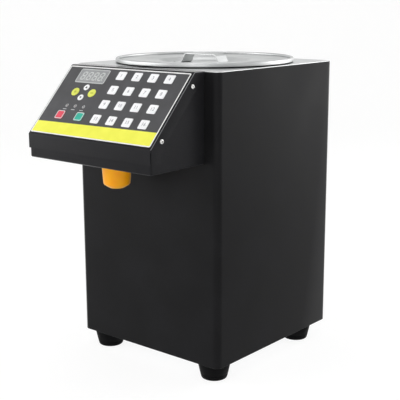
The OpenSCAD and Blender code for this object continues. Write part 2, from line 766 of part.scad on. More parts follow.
module nozzle_tube() {
    color(steel) in_cabinet() translate([head_shift, -nozzle_y, 0]) difference() {
        union() {
            translate([0, 0, head_z - nozzle_drop])
                cylinder(h = nozzle_top - head_z + nozzle_drop, r = nozzle_r);
            translate([0, 0, head_z]) cylinder(h = sheet + 0.5, r = nozzle_r + 3);
            translate([0, 0, head_z + sheet]) cylinder(h = 2, r = nozzle_r + 7);
        }
        translate([0, 0, head_z - nozzle_drop - 1])
            cylinder(h = nozzle_top - head_z + nozzle_drop + 2, r = nozzle_bore_r);
    }
}

module nozzle_nut() {
    color(steel) in_cabinet() translate([head_shift, -nozzle_y, head_z - hood_top_t - 6]) difference() {
        cylinder(h = 6, r = nozzle_r + 6, $fn = 6);
        translate([0, 0, -1]) cylinder(h = 8, r = nozzle_r + 0.1);
    }
}

module nozzle_hood() {
    bend = [hood_low_r - hood_lip_r, head_z - hood_h + hood_lip_r];
    color("#f09a12") in_cabinet() translate([head_shift, -nozzle_y, 0]) rotate_extrude() polygon(concat(
        [[nozzle_r + 0.2, head_z], [nozzle_r + 0.2, head_z - hood_top_t],
         [hood_top_r - hood_t - 3, head_z - hood_top_t], [hood_top_r - hood_t, head_z - hood_top_t - 3]],
        [for (k = [0:6]) bend + (hood_lip_r - hood_t) * [cos(15 * k), -sin(15 * k)]],
        [for (k = [6:-1:0]) bend + hood_lip_r * [cos(15 * k), -sin(15 * k)]],
        [[hood_top_r, head_z - 1.5], [hood_top_r - 1.5, head_z]]));
}

// ---------- pump ----------

// Involute flank: the angle that the flank has turned at radius r
function flank_turn(r, base_r) = let (t = sqrt(max(pow(r / base_r, 2) - 1, 0))) t * 180 / PI - atan(t);

// Outline of a pump gear with one tooth towards +X
module gear_outline() {
    base_r = gear_pitch_r * cos(25);
    half_pitch = 90 / gear_teeth - gear_backlash / gear_pitch_r * 90 / PI + flank_turn(gear_pitch_r, base_r);
    low_r = max(base_r, gear_root_r);
    flank = [for (k = [0:6]) let (r = low_r + (gear_tip_r - low_r) * k / 6)
        [r, half_pitch - flank_turn(r, base_r)]];
    polygon([for (i = [0:gear_teeth - 1]) each concat(
        [gear_root_r * [cos(360 * i / gear_teeth - half_pitch), sin(360 * i / gear_teeth - half_pitch)]],
        [for (q = flank) q[0] * [cos(360 * i / gear_teeth - q[1]), sin(360 * i / gear_teeth - q[1])]],
        [for (q = reversed(flank)) q[0] * [cos(360 * i / gear_teeth + q[1]), sin(360 * i / gear_teeth + q[1])]],
        [gear_root_r * [cos(360 * i / gear_teeth + half_pitch), sin(360 * i / gear_teeth + half_pitch)]])]);
}

// The two gears' axes, in the pump's own [x, z]
module pump_place() in_cabinet() translate([pump_x, 0, pump_z]) children();

module case_outline() {
    r = case_bore_r + case_wall;
    circle(r);
    translate([0, gear_distance]) circle(r);
    translate([-r, 0]) square([2 * r, gear_distance]);
}
case_screw_spots = [for (sx = [-1, 1], top = [0, 1])
    [sx * case_screw_x * cos(45), top * gear_distance + (2 * top - 1) * case_screw_x * sin(45)]];

module pump_case() {
    color("#b9bcbe") pump_place() {
        difference() {
            translate([0, case_front, 0]) union() {
                backwards(case_back - case_front) case_outline();
                for (s = [-1, 1]) translate([s * port_x, case_depth / 2, gear_distance / 2])
                    rotate([0, s * 90, 0]) {
                        translate([0, 0, -4]) cylinder(h = 8, r = port_boss_r);
                        cylinder(h = 4 + barb_l, r = barb_r);
                    }
            }
            translate([0, case_front - 1, 0]) backwards(case_depth + 1) union() {
                circle(case_bore_r);
                translate([0, gear_distance]) circle(case_bore_r);
            }
            translate([-port_x - 20, case_front + case_depth / 2, gear_distance / 2]) rotate([0, 90, 0])
                cylinder(h = 2 * port_x + 40, r = 3);
            translate([0, case_front, 0]) rotate([-90, 0, 0])
                cylinder(h = case_back - case_front + 1, r = shaft_r + shaft_clear);
        }
        translate([0, case_front + gear_end_gap, gear_distance]) rotate([-90, 0, 0])
            cylinder(h = case_depth - gear_end_gap + 1, r = idler_pin_r);
    }
}

module pump_cover() {
    color(steel) pump_place() translate([0, case_front - pump_cover_t, 0]) union() {
        backwards(pump_cover_t) case_outline();
        for (q = case_screw_spots) translate([q[0], 0, q[1]]) rotate([90, 0, 0]) cylinder(h = 3, r = 3.2);
    }
}

module drive_gear() {
    color("#c8a54a") pump_place() translate([0, case_front + gear_end_gap, 0]) union() {
        backwards(gear_w) rotate(90) gear_outline();
        rotate([-90, 0, 0]) cylinder(h = motor_front + 18 - case_front, r = shaft_r);
    }
}

module idler_gear() {
    color("#c8a54a") pump_place() translate([0, case_front + gear_end_gap, gear_distance]) difference() {
        backwards(gear_w) rotate(-90 + 180 / gear_teeth) gear_outline();
        translate([0, -1, 0]) rotate([-90, 0, 0]) cylinder(h = gear_w + 2, r = idler_pin_r + shaft_clear);
    }
}

module pump_bracket() {
    w = bracket_w;
    top = pump_z + gear_distance + case_bore_r + case_wall;
    floor_z = tray_z + sheet;
    color(zinc) in_cabinet() translate([pump_x, case_back, 0]) difference() {
        union() {
            translate([-w / 2, 0, floor_z]) cube([w, bracket_t, top - floor_z]);
            translate([-w / 2, 0, floor_z]) cube([w, 40, bracket_t]);
            for (s = [-1, 1]) translate([s * (w - bracket_t) / 2, 0, 0]) across(bracket_t)
                polygon([[0, floor_z], [34, floor_z], [0, floor_z + 46]]);
        }
        translate([0, -1, pump_z]) rotate([-90, 0, 0]) cylinder(h = bracket_t + 2, r = shaft_r + 2);
        for (s = [-1, 1]) translate([s * w / 4, 24, floor_z - 1]) cylinder(h = bracket_t + 2, r = 2.2);
    }
}

module pump_motor() {
    gearbox_l = 30;
    color("#8f9396") in_cabinet() translate([pump_x, motor_front, pump_z]) difference() {
        union() {
            rotate([-90, 0, 0]) cylinder(h = gearbox_l, r = motor_r);
            translate([0, gearbox_l - 1, 0]) rotate([-90, 0, 0])
                cylinder(h = motor_l - gearbox_l - 3, r = motor_r - 2);
            translate([0, motor_l - 5, 0]) rotate([-90, 0, 0]) cylinder(h = 5, r = 9);
            for (s = [-1, 1]) translate([s * 14 - 3, motor_l - 5, -1]) cube([6, 8, 1.2]);
        }
        translate([0, -1, 0]) rotate([-90, 0, 0]) cylinder(h = 21, r = shaft_r + shaft_clear);
    }
}

suction_path = [[0, tank_y, tank_floor - drain_drop], [0, tank_y, port_z + 62],
    [suction_x, tank_y, port_z + 62], [suction_x, case_front + case_depth / 2, port_z + 62],
    [suction_x, case_front + case_depth / 2, port_z],
    [pump_x - port_x - 4, case_front + case_depth / 2, port_z]];
delivery_path = [[pump_x + port_x + 4, case_front + case_depth / 2, port_z],
    [delivery_x, case_front + case_depth / 2, port_z],
    [delivery_x, case_front + case_depth / 2, nozzle_top + 34], [delivery_x, -nozzle_y, nozzle_top + 34],
    [head_shift, -nozzle_y, nozzle_top + 34], [head_shift, -nozzle_y, head_z + sheet + 2]];

module suction_hose() {
    color("#e9e6dc") in_cabinet() difference() {
        hose(suction_path, hose_r + 1, hose_bend);
        translate(suction_path[0] - [0, 0, 0.5]) cylinder(h = drain_drop, r = drain_r - 0.9);
        along(suction_path[5] + [1, 0, 0], [-1, 0, 0]) cylinder(h = barb_l + 2, r = barb_r + 0.1);
    }
}

module delivery_hose() {
    color("#e9e6dc") in_cabinet() difference() {
        hose(delivery_path, hose_r, hose_bend);
        along(delivery_path[0] - [1, 0, 0], [1, 0, 0]) cylinder(h = barb_l + 2, r = barb_r + 0.1);
        translate([head_shift, -nozzle_y, head_z]) cylinder(h = nozzle_top - head_z + 1, r = nozzle_r + 0.1);
    }
}

// ---------- electrics ----------

module power_supply() {
    floor_z = tray_z + sheet;
    x0 = -body_w / 2 + sheet + 14;
    y0 = body_d - sheet - 14 - power_d;
    color("#b4b7ba") in_cabinet() difference() {
        union() {
            translate([x0, y0, floor_z + 5]) cube([power_w, power_d, power_h]);
            for (ix = [0, 1], iy = [0, 1])
                translate([x0 + 6 + ix * (power_w - 12), y0 + 6 + iy * (power_d - 12), floor_z])
                    cylinder(h = 6, r = 4);
            translate([x0 + power_w - 1, y0 + 8, floor_z + 7]) cube([13, power_d - 16, 12]);
        }
        for (k = [0:8]) translate([x0 + 14 + k * 8, y0 + power_d / 2, floor_z + 4 + power_h])
            linear_extrude(3) round_rect(3, power_d - 24, 1.4);
    }
}

// Outline of the mains inlet's body, with its two cut corners, about its middle in [x, z]
module inlet_body_outline(grow = 0) {
    w = 27 + 2 * grow;
    h = 20 + 2 * grow;
    polygon([[-w / 2, -h / 2], [w / 2, -h / 2], [w / 2, h / 2 - 6], [w / 2 - 6, h / 2],
        [-w / 2 + 6, h / 2], [-w / 2, h / 2 - 6]]);
}

module mains_inlet() {
    color(rubber) in_cabinet() translate([inlet_x, inlet_y, foot_h + back_z + inlet_z]) {
        difference() {
            union() {
                backwards(inlet_flange_t) difference() {
                    round_rect(inlet_flange_w, inlet_flange_h, 4);
                    for (s = [-1, 1]) translate([s * inlet_screw_x, 0]) circle(1.7);
                }
                translate([0, -20, 0]) backwards(20) inlet_body_outline();
            }
            translate([0, -15, 0]) backwards(30)
                polygon([[-12.2, -8.3], [12.2, -8.3], [12.2, 3.3], [7.2, 8.3], [-7.2, 8.3], [-12.2, 3.3]]);
        }
        for (q = [[-7, -2.5], [7, -2.5], [0, 2.5]])
            translate([q[0] - 1, -16, q[1] - 2]) cube([2, 14, 4]);
        for (s = [-1, 1]) translate([s * 7 - 2, -28, -0.6]) cube([4, 8.5, 1.2]);
    }
}

module switch_frame() {
    color(rubber) in_cabinet() translate([switch_x, inlet_y, foot_h + back_z + inlet_z]) difference() {
        union() {
            backwards(1.8) round_rect(15, 21, 1.5);
            translate([0, -16, 0]) backwards(17) square([13, 19.5], center = true);
            for (s = [-1, 1]) translate([-1, -24, s * 5 - 0.5]) cube([2, 8.5, 1]);
        }
        translate([0, -11, 0]) backwards(14)
            square([rocker_w + 2 * fit, rocker_l + 2 * fit + 0.8], center = true);
    }
}

// Rocker about an axis along X, just behind the panel's face
module switch_rocker() {
    half = rocker_l / 2;
    color("#26262a") in_cabinet() translate([switch_x, inlet_y - rocker_in, foot_h + back_z + inlet_z])
        rotate([rocker_tilt, 0, 0]) across(rocker_w) union() {
            polygon([[4.2, 1.2 - half], [3.2, 0], [4.2, half - 1.2], [3.4, half - 0.4], [0, half - 0.4],
                [0, 0.4 - half], [3.4, 0.4 - half]]);
            intersection() {
                circle(rocker_r);
                translate([-rocker_r, -rocker_r]) square([rocker_r + 1, 2 * rocker_r]);
            }
        }
}

// ---------- what is drawn ----------

body_shell();
base_tray();
feet();
foot_screws();
top_plate();
back_panel();
back_screws();
tank();
tank_drain();
tank_heater();
lid();
lid_collar();
lid_handle();
lid_seal();
head_box();
head_cover();
cover_screws();
overlay();
display_window();
display_module();
control_board();
indicator_lamps();
nozzle_tube();
nozzle_nut();
nozzle_hood();
pump_case();
pump_cover();
drive_gear();
idler_gear();
pump_bracket();
pump_motor();
suction_hose();
delivery_hose();
power_supply();
mains_inlet();
switch_frame();
switch_rocker();
for (i = [0:15]) dose_key(i);
for (i = [0, 1]) round_key(i);
for (i = [0, 1]) arrow_key(i);
key_red();
key_green();
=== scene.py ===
"""Looks for the counter-top fructose dispenser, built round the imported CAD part.

Pieces are drawn in millimetres, in one of three frames: the cabinet (x across, y back from its front face,
z up from the floor), the key panel's slope and the back.
"""
import math

import bmesh
import bpy
from mathutils import Matrix, Vector


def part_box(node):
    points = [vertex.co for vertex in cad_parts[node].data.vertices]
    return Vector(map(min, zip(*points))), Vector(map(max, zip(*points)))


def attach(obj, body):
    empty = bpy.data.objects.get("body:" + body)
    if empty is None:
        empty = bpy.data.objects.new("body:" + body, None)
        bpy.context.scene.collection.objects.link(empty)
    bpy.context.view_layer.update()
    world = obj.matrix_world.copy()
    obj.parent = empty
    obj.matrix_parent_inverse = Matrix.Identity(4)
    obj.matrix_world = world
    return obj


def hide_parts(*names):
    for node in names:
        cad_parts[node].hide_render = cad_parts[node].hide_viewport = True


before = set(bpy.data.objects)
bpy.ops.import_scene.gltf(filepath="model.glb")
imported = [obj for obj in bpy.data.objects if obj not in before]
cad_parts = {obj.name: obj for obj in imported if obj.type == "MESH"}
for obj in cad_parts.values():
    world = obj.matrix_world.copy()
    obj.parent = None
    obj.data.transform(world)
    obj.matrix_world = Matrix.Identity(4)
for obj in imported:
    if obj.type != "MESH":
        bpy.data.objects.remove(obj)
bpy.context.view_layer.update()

# ---------------------------------------------------------------- sizes, mm

MM = 0.001
BODY_LOW, BODY_HIGH = (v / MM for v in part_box("body_shell"))
COVER_LOW, COVER_HIGH = (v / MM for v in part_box("head_cover"))
FRONT = BODY_LOW.y
BODY_W, BODY_D = BODY_HIGH.x - BODY_LOW.x, BODY_HIGH.y - BODY_LOW.y
TOP, FOOT_H = COVER_HIGH.z, BODY_LOW.z
SHEET, CORNER_R = 1.2, 10
HEAD_X, HEAD_W, HEAD_OUT = (COVER_LOW.x + COVER_HIGH.x) / 2, COVER_HIGH.x - COVER_LOW.x, FRONT - COVER_LOW.y
HEAD_Z, LIP_Z, BEND_Z, STRIP = 314, COVER_LOW.z, 346.5, 20
COVER_T = 1.5
TILT = math.atan2(TOP - BEND_Z, HEAD_OUT - STRIP)
PANEL_L = math.hypot(TOP - BEND_Z, HEAD_OUT - STRIP)
TANK_Y = 135.5
LID_SEAT = TOP + 3

OVERLAY_T, OVERLAY_V, OVERLAY_W = 0.8, 3.4, HEAD_W - 6
OVERLAY_L = PANEL_L - OVERLAY_V - 3
KEY_W, KEY_L, KEY_R, KEY_PROUD = 15.2, 14.2, 1.8, 0.5
WINDOW_U, WINDOW_V, WINDOW_W, WINDOW_L = 58 - HEAD_W / 2, 106.4, 58, 24.5
SIDE_U, SIDE_HALF = 59.8 - HEAD_W / 2, 16.6      # middle of the lamps and arrow keys, half their spacing

PANEL_FOOT, PANEL_HIGH, PANEL_W = FOOT_H + 22, 300, 226
SOCKET_X, SWITCH_X, SOCKET_Z = 62, 16, PANEL_FOOT + 34


def frame_of(x_axis, y_axis, z_axis):
    return Matrix((x_axis, y_axis, z_axis)).transposed().to_4x4()


CABINET = Matrix.Scale(MM, 4) @ Matrix.Translation((0, FRONT, 0))
HEAD = CABINET @ Matrix.Translation((HEAD_X, 0, 0))
SLOPE = HEAD @ Matrix.Translation((0, -HEAD_OUT, BEND_Z)) @ Matrix.Rotation(TILT, 4, "X")
FROM_BEHIND = frame_of((-1, 0, 0), (0, 0, 1), (0, 1, 0))     # x to the viewer's right, y up, z towards the viewer
BACK = CABINET @ Matrix.Translation((0, BODY_D, 0)) @ FROM_BEHIND
ACROSS = frame_of((0, 1, 0), (0, 0, 1), (1, 0, 0))           # a [y, z] outline drawn out along x
TANK_AXIS = Matrix.Translation((0, TANK_Y, 0))


def spot(x, y, z=0):
    return Matrix.Translation((x, y, z))


# ---------------------------------------------------------------- meshes

def rounded(points, radius, steps=6, closed=False):
    """A 2-D line with its corners rounded; radius is one number or one for each point."""
    count = len(points)
    radii = radius if isinstance(radius, (list, tuple)) else [radius] * count
    out = []
    for i, p in enumerate(points):
        p = Vector(p)
        if (not closed and i in (0, count - 1)) or radii[i] <= 0:
            out.append(tuple(p))
            continue
        a = (Vector(points[i - 1]) - p).normalized()
        b = (Vector(points[(i + 1) % count]) - p).normalized()
        half = a.angle(b) / 2
        if half > math.pi / 2 - 1e-3:
            out.append(tuple(p))
            continue
        centre = p + (a + b).normalized() * radii[i] / math.sin(half)
        spoke = p + a * radii[i] / math.tan(half) - centre
        side = 1 if a.y * b.x - a.x * b.y > 0 else -1
        for k in range(steps + 1):
            turn = Matrix.Rotation(side * (math.pi - 2 * half) * k / steps, 2)
            out.append(tuple(centre + turn @ spoke))
    return out


def rectangle(w, l, r, x=0.0, y=0.0, steps=6):
    """Outline of a rectangle with round corners, about (x, y)."""
    a, b = w / 2, l / 2
    return rounded([(x + a, y + b), (x - a, y + b), (x - a, y - b), (x + a, y - b)], r, steps, closed=True)


def arc(x, y, r, start, end, steps):
    """Points on an arc about (x, y), with its angles in degrees."""
    angles = [math.radians(start + (end - start) * k / steps) for k in range(steps + 1)]
    return [(x + r * math.cos(a), y + r * math.sin(a)) for a in angles]


def disc(r, x=0.0, y=0.0, steps=48):
    return arc(x, y, r, 0, 360, steps)[:-1]


def mesh_of(name, verts, faces, closed=True):
    mesh = bpy.data.meshes.new(name)
    mesh.from_pydata([tuple(v) for v in verts], [], faces)
    work = bmesh.new()
    work.from_mesh(mesh)
    bmesh.ops.remove_doubles(work, verts=work.verts, dist=1e-4)
    if closed:
        bmesh.ops.recalc_face_normals(work, faces=work.faces)
    work.to_mesh(mesh)
    work.free()
    return mesh


def plate(name, outline, low, high, holes=()):
    """A flat piece between two heights, from an outline and the outlines of its holes."""
    work = bmesh.new()
    for line in (outline, *holes):
        ring = [work.verts.new((x, y, low)) for x, y in line]
        for i, v in enumerate(ring):
            work.edges.new((ring[i - 1], v))
    bmesh.ops.triangle_fill(work, use_beauty=True, use_dissolve=False, edges=work.edges, normal=(0, 0, -1))
    top = bmesh.ops.extrude_face_region(work, geom=work.faces[:])["geom"]
    bmesh.ops.translate(work, vec=(0, 0, high - low), verts=[g for g in top if isinstance(g, bmesh.types.BMVert)])
    bmesh.ops.recalc_face_normals(work, faces=work.faces)
    bmesh.ops.dissolve_limit(work, angle_limit=0.001, verts=work.verts, edges=work.edges)
    mesh = bpy.data.meshes.new(name)
    work.to_mesh(mesh)
    work.free()
    return mesh


def lathe(name, profile, steps=96, closed=True):
    """Turns a line of (radius, height) points round Z. A closed line is a ring's section."""
    verts, faces, rings = [], [], []
    for r, z in profile:
        if r < 1e-6:
            rings.append([len(verts)] * steps)
            verts.append((0, 0, z))
        else:
            rings.append(list(range(len(verts), len(verts) + steps)))
            verts += [(x, y, z) for x, y in disc(r, steps=steps)]
    for a, b in zip(rings, rings[1:] + rings[:1] if closed else rings[1:]):
        for k in range(steps):
            face = list(dict.fromkeys([a[k], a[(k + 1) % steps], b[(k + 1) % steps], b[k]]))
            if len(face) > 2:
                faces.append(face)
    return mesh_of(name, verts, faces)


def sweep(name, outline, line, sideways):
    """Carries a closed 2-D outline along a 3-D line; its first axis stays sideways."""
    verts, faces, count = [], [], len(outline)
    for i, p in enumerate(line):
        run = (Vector(line[min(i + 1, len(line) - 1)]) - Vector(line[max(i - 1, 0)])).normalized()
        up = sideways.cross(run).normalized()
        verts += [Vector(p) + sideways * x + up * y for x, y in outline]
    for i in range(len(line) - 1):
        for k in range(count):
            j = (k + 1) % count
            faces.append([i * count + k, i * count + j, (i + 1) * count + j, (i + 1) * count + k])
    faces.append(list(range(count)))
    faces.append([(len(line) - 1) * count + k for k in range(count)])
    return mesh_of(name, verts, faces)


def joined(name, *meshes):
    """One mesh out of several."""
    work = bmesh.new()
    for m in meshes:
        work.from_mesh(m)
    mesh = bpy.data.meshes.new(name)
    work.to_mesh(mesh)
    work.free()
    return mesh


def moved(mesh, place):
    copy = mesh.copy()
    copy.transform(place)
    return copy


def evaluated(name, mesh, kind, settings):
    """A mesh with one modifier applied."""
    obj = bpy.data.objects.new(name, mesh)
    bpy.context.collection.objects.link(obj)
    modifier = obj.modifiers.new(name, kind)
    for key, value in settings.items():
        setattr(modifier, key, value)
    out = bpy.data.meshes.new_from_object(obj.evaluated_get(bpy.context.evaluated_depsgraph_get()))
    bpy.data.objects.remove(obj)
    return out


def cut(mesh, cutter, solver="EXACT"):
    """Takes one closed mesh out of another."""
    tool = bpy.data.objects.new("cutter", cutter)
    bpy.context.collection.objects.link(tool)
    out = evaluated("cut", mesh, "BOOLEAN", {"object": tool, "operation": "DIFFERENCE", "solver": solver})
    bpy.data.objects.remove(tool)
    return out


def sheet_metal(name, verts, faces, thickness, bend):
    """Folded sheet: an open skin whose folds are rounded, then thickened inwards."""
    skin = mesh_of(name, verts, faces, closed=False)
    if bend:
        skin = evaluated(name, skin, "BEVEL", {"width": bend, "segments": 4, "limit_method": "ANGLE",
                                               "angle_limit": math.radians(30), "offset_type": "OFFSET"})
    return evaluated(name, skin, "SOLIDIFY", {"thickness": thickness, "offset": -1, "use_even_offset": True})


def lettering(name, text, size, low, high):
    """Plain numerals or letters as a flat mesh, centred."""
    curve = bpy.data.curves.new(name, "FONT")
    curve.body, curve.size = text, size
    curve.align_x, curve.align_y = "CENTER", "CENTER"
    curve.extrude, curve.resolution_u = (high - low) / 2, 4
    obj = bpy.data.objects.new(name, curve)
    bpy.context.collection.objects.link(obj)
    mesh = bpy.data.meshes.new_from_object(obj.evaluated_get(bpy.context.evaluated_depsgraph_get()))
    bpy.data.objects.remove(obj)
    bpy.data.curves.remove(curve)
    mesh.materials.clear()
    mesh.transform(spot(0, 0, (high + low) / 2))
    return mesh


def piece(name, mesh, material, body, place=CABINET, replaces=(), bevel=0.0, segments=3, sharp=32):
    """Puts a mesh in the scene as a piece of the object that rides on a body."""
    obj = bpy.data.objects.new(name, mesh)
    bpy.context.collection.objects.link(obj)
    mesh.transform(place)
    mesh.materials.clear()
    mesh.materials.append(material)
    mesh.polygons.foreach_set("use_smooth", [True] * len(mesh.polygons))
    mesh.set_sharp_from_angle(angle=math.radians(sharp))
    if bevel:
        edge = obj.modifiers.new("edges", "BEVEL")
        edge.width, edge.segments, edge.limit_method = bevel * MM, segments, "ANGLE"
        edge.angle_limit, edge.harden_normals = math.radians(sharp), True
    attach(obj, body)
    if replaces:
        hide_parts(*replaces)
    return obj


# ---------------------------------------------------------------- materials

def colour(code):
    """An sRGB hex colour as linear RGBA."""
    parts = [int(code[i:i + 2], 16) / 255 for i in (1, 3, 5)]
    return [c / 12.92 if c <= 0.04045 else ((c + 0.055) / 1.055) ** 2.4 for c in parts] + [1.0]


def add(tree, kind, links=None, **settings):
    """Adds a node. Settings are the node's own; links sets its inputs to values or to other sockets."""
    n = tree.nodes.new(kind)
    for key, value in settings.items():
        setattr(n, key, value)
    for key, value in (links or {}).items():
        if isinstance(value, bpy.types.NodeSocket):
            tree.links.new(value, n.inputs[key])
        else:
            n.inputs[key].default_value = value
    return n


def surface(name, **values):
    """A new material: its tree, its shader and its object coordinates."""
    material = bpy.data.materials.new(name)
    material.use_nodes = True
    tree = material.node_tree
    shader = tree.nodes["Principled BSDF"]
    for key, value in values.items():
        shader.inputs[key.replace("_", " ")].default_value = value
    place = tree.nodes.new("ShaderNodeTexCoord").outputs["Object"]
    return material, tree, shader, place


def ramp(tree, fac, stops):
    """A colour ramp over fac with (position, hex colour) stops."""
    n = add(tree, "ShaderNodeValToRGB", {"Fac": fac})
    while len(n.color_ramp.elements) < len(stops):
        n.color_ramp.elements.new(0.5)
    for element, (where, code) in zip(n.color_ramp.elements, stops):
        element.position, element.color = where, colour(code)
    return n.outputs["Color"]


def grain(tree, place, size_mm, detail=2.0, stretch=(1, 1, 1)):
    """Noise whose grains are about size_mm across, drawn out along an axis by stretch."""
    scaled = add(tree, "ShaderNodeMapping", {"Vector": place, "Scale": [1 / s for s in stretch]})
    return add(tree, "ShaderNodeTexNoise", {"Vector": scaled.outputs["Vector"], "Scale": 1 / (size_mm * MM),
                                            "Detail": detail}).outputs["Fac"]


def between(tree, fac, low, high):
    """Spreads a 0.3 to 0.7 noise value over low to high."""
    return add(tree, "ShaderNodeMapRange", {"Value": fac, "From Min": 0.3, "From Max": 0.7,
                                            "To Min": low, "To Max": high}).outputs["Result"]


def bump(tree, shader, height, depth_mm, strength=1.0, under=None):
    links = {"Height": height, "Distance": depth_mm * MM, "Strength": strength}
    if under is not None:
        links["Normal"] = under
    n = add(tree, "ShaderNodeBump", links).outputs["Normal"]
    tree.links.new(n, shader.inputs["Normal"])
    return n


def edges(tree, radius_mm):
    """The normal rounded off near an edge, the true one, and how far they agree, which is 1 on a flat face."""
    soft = add(tree, "ShaderNodeBevel", {"Radius": radius_mm * MM}, samples=6).outputs["Normal"]
    true = add(tree, "ShaderNodeNewGeometry").outputs["Normal"]
    agree = add(tree, "ShaderNodeVectorMath", {0: soft, 1: true}, operation="DOT_PRODUCT").outputs["Value"]
    return soft, true, agree


def powder_coat(name, tones, painted_fold_highlights=False):
    """Black polyester powder coat on steel: satin, with a fine orange peel and a grey bloom of handling.

    Its texture hides most of the shine seen straight on, and little of it at a glancing angle. Cut edges
    are drawn a little grey: partly wear, partly a painted highlight along them. With the folds option, the
    folds along the sides get the same painted highlight, but only where they face upwards, where light
    from above would catch them.
    """
    m, t, s, place = surface(name, Roughness=0.46)
    speck = grain(t, place, 1.3, detail=3)      # the real grit is 0.2 mm, too fine to show
    bloom = grain(t, place, 70, detail=3)
    both = add(t, "ShaderNodeMath", {0: speck, 1: bloom}, operation="ADD")
    mean = add(t, "ShaderNodeMath", {0: both.outputs[0], 1: 0.5}, operation="MULTIPLY")
    coat = ramp(t, mean.outputs[0], list(zip((0.35, 0.5, 0.66), tones)))
    glance = add(t, "ShaderNodeLayerWeight", {"Blend": 0.5}).outputs["Facing"]
    shine = add(t, "ShaderNodeMapRange", {"Value": glance, "From Min": 0.5, "From Max": 0.8,
                                          "To Min": 0.06, "To Max": 1.0})
    t.links.new(shine.outputs["Result"], s.inputs["Specular IOR Level"])
    satin = add(t, "ShaderNodeMapRange", {"Value": glance, "From Min": 0.62, "From Max": 0.84,
                                          "To Min": between(t, bloom, 0.42, 0.51), "To Max": 0.2})
    t.links.new(satin.outputs["Result"], s.inputs["Roughness"])
    # cut edges drawn lighter grey: partly wear, partly a painted highlight along them
    soft, true, agree = edges(t, 1.1)
    edge_wear_and_highlight = add(t, "ShaderNodeMapRange", {"Value": agree, "From Min": 0.97, "From Max": 0.8,
                                        "To Max": 0.3}).outputs["Result"]
    # with the folds option, the folds get the same painted highlight
    if painted_fold_highlights:
        sideways = add(t, "ShaderNodeSeparateXYZ", {"Vector": true}).outputs["X"]
        square = add(t, "ShaderNodeMath", {0: sideways, 1: sideways}, operation="MULTIPLY").outputs[0]
        # the middle of a fold, where its normal is about 45 degrees round
        fold = add(t, "ShaderNodeMath", {0: square, 1: 0.5, 2: 0.3}, operation="COMPARE").outputs[0]
        edge_wear_and_highlight = add(t, "ShaderNodeMath", {0: edge_wear_and_highlight, 1: fold}, operation="MAXIMUM").outputs[0]
        # kept only where the surface faces upwards, where light from above falls: painted highlight
        upwards = add(t, "ShaderNodeSeparateXYZ", {"Vector": soft}).outputs["Z"]
        above = add(t, "ShaderNodeMapRange", {"Value": upwards, "From Min": 0.15, "From Max": 0.35}).outputs["Result"]
        edge_wear_and_highlight = add(t, "ShaderNodeMath", {0: edge_wear_and_highlight, 1: above}, operation="MULTIPLY").outputs[0]
    # the grey that edges and folds are lightened to: wear and painted highlight
    worn_and_highlighted = add(t, "ShaderNodeMix", {"Factor": edge_wear_and_highlight, "A": coat, "B": colour("#858588")}, data_type="RGBA")
    t.links.new(worn_and_highlighted.outputs["Result"], s.inputs["Base Color"])
    bump(t, s, speck, 0.05, 0.6)
    return m


def brushed_steel():
    """Brushed stainless sheet: light grey, with fine hair lines across the width and duller cut edges."""
    m, t, s, place = surface("brushed_stainless", Metallic=1.0, Roughness=0.4, Anisotropic=0.4)
    hair = grain(t, place, 0.9, detail=4, stretch=(40, 1, 1))    # 0.1 mm lines, drawn coarser
    smear = grain(t, place, 60, detail=2)
    agree = edges(t, 0.8)[2]
    edge = add(t, "ShaderNodeMapRange", {"Value": agree, "From Min": 0.98, "From Max": 0.84}).outputs["Result"]
    face = ramp(t, hair, [(0.3, "#babcbc"), (0.7, "#d3d4d4")])
    dull = add(t, "ShaderNodeMix", {"Factor": edge, "A": face, "B": colour("#6f7173")}, data_type="RGBA")
    t.links.new(dull.outputs["Result"], s.inputs["Base Color"])
    t.links.new(between(t, smear, 0.34, 0.46), s.inputs["Roughness"])
    bump(t, s, hair, 0.01, 0.5)
    return m


def polished_steel():
    """Spun and polished stainless: bright and slightly wavy, with faint rings from the spinning."""
    m, t, s, place = surface("polished_stainless", Metallic=1.0, Roughness=0.3)
    wave = grain(t, place, 55, detail=1)
    centred = add(t, "ShaderNodeMapping", {"Vector": place, "Location": (0, -(FRONT + TANK_Y) * MM, 0)})
    rings = add(t, "ShaderNodeTexWave", {"Vector": centred.outputs["Vector"], "Scale": 1 / (3.2 * MM) / 6.28,
                                         "Distortion": 1.5, "Detail": 3.0, "Detail Scale": 2.0},
                wave_type="RINGS", rings_direction="Z").outputs["Fac"]
    t.links.new(ramp(t, wave, [(0.35, "#b5b7b7"), (0.65, "#c8c9c9")]), s.inputs["Base Color"])
    t.links.new(between(t, grain(t, place, 1.4, detail=4, stretch=(1, 14, 1)), 0.38, 0.52), s.inputs["Roughness"])
    first = bump(t, s, wave, 0.6, 0.5)
    bump(t, s, rings, 0.004, 0.35, under=first)
    return m


def zinc_plate():
    """Zinc-plated sheet and screws: dull grey with a faint spangle."""
    m, t, s, place = surface("zinc_plate", Metallic=1.0, Roughness=0.42)
    spangle = add(t, "ShaderNodeTexVoronoi", {"Vector": place, "Scale": 1 / (6 * MM)}).outputs["Color"]
    t.links.new(ramp(t, add(t, "ShaderNodeSeparateColor", {"Color": spangle}).outputs["Red"],
                     [(0.0, "#9da1a4"), (1.0, "#b9bdc0")]), s.inputs["Base Color"])
    t.links.new(between(t, grain(t, place, 12), 0.36, 0.5), s.inputs["Roughness"])
    bump(t, s, grain(t, place, 1.2), 0.02, 0.4)
    return m


def moulded_rubber():
    """Black moulded rubber: matt, with a dry grey bloom."""
    m, t, s, place = surface("moulded_rubber", Roughness=0.7, Specular_IOR_Level=0.06)
    bloom = grain(t, place, 9, detail=4)
    t.links.new(ramp(t, bloom, [(0.35, "#070708"), (0.7, "#0d0d0e")]), s.inputs["Base Color"])
    t.links.new(between(t, bloom, 0.52, 0.74), s.inputs["Roughness"])
    bump(t, s, grain(t, place, 0.9, detail=3), 0.03, 0.5)
    return m


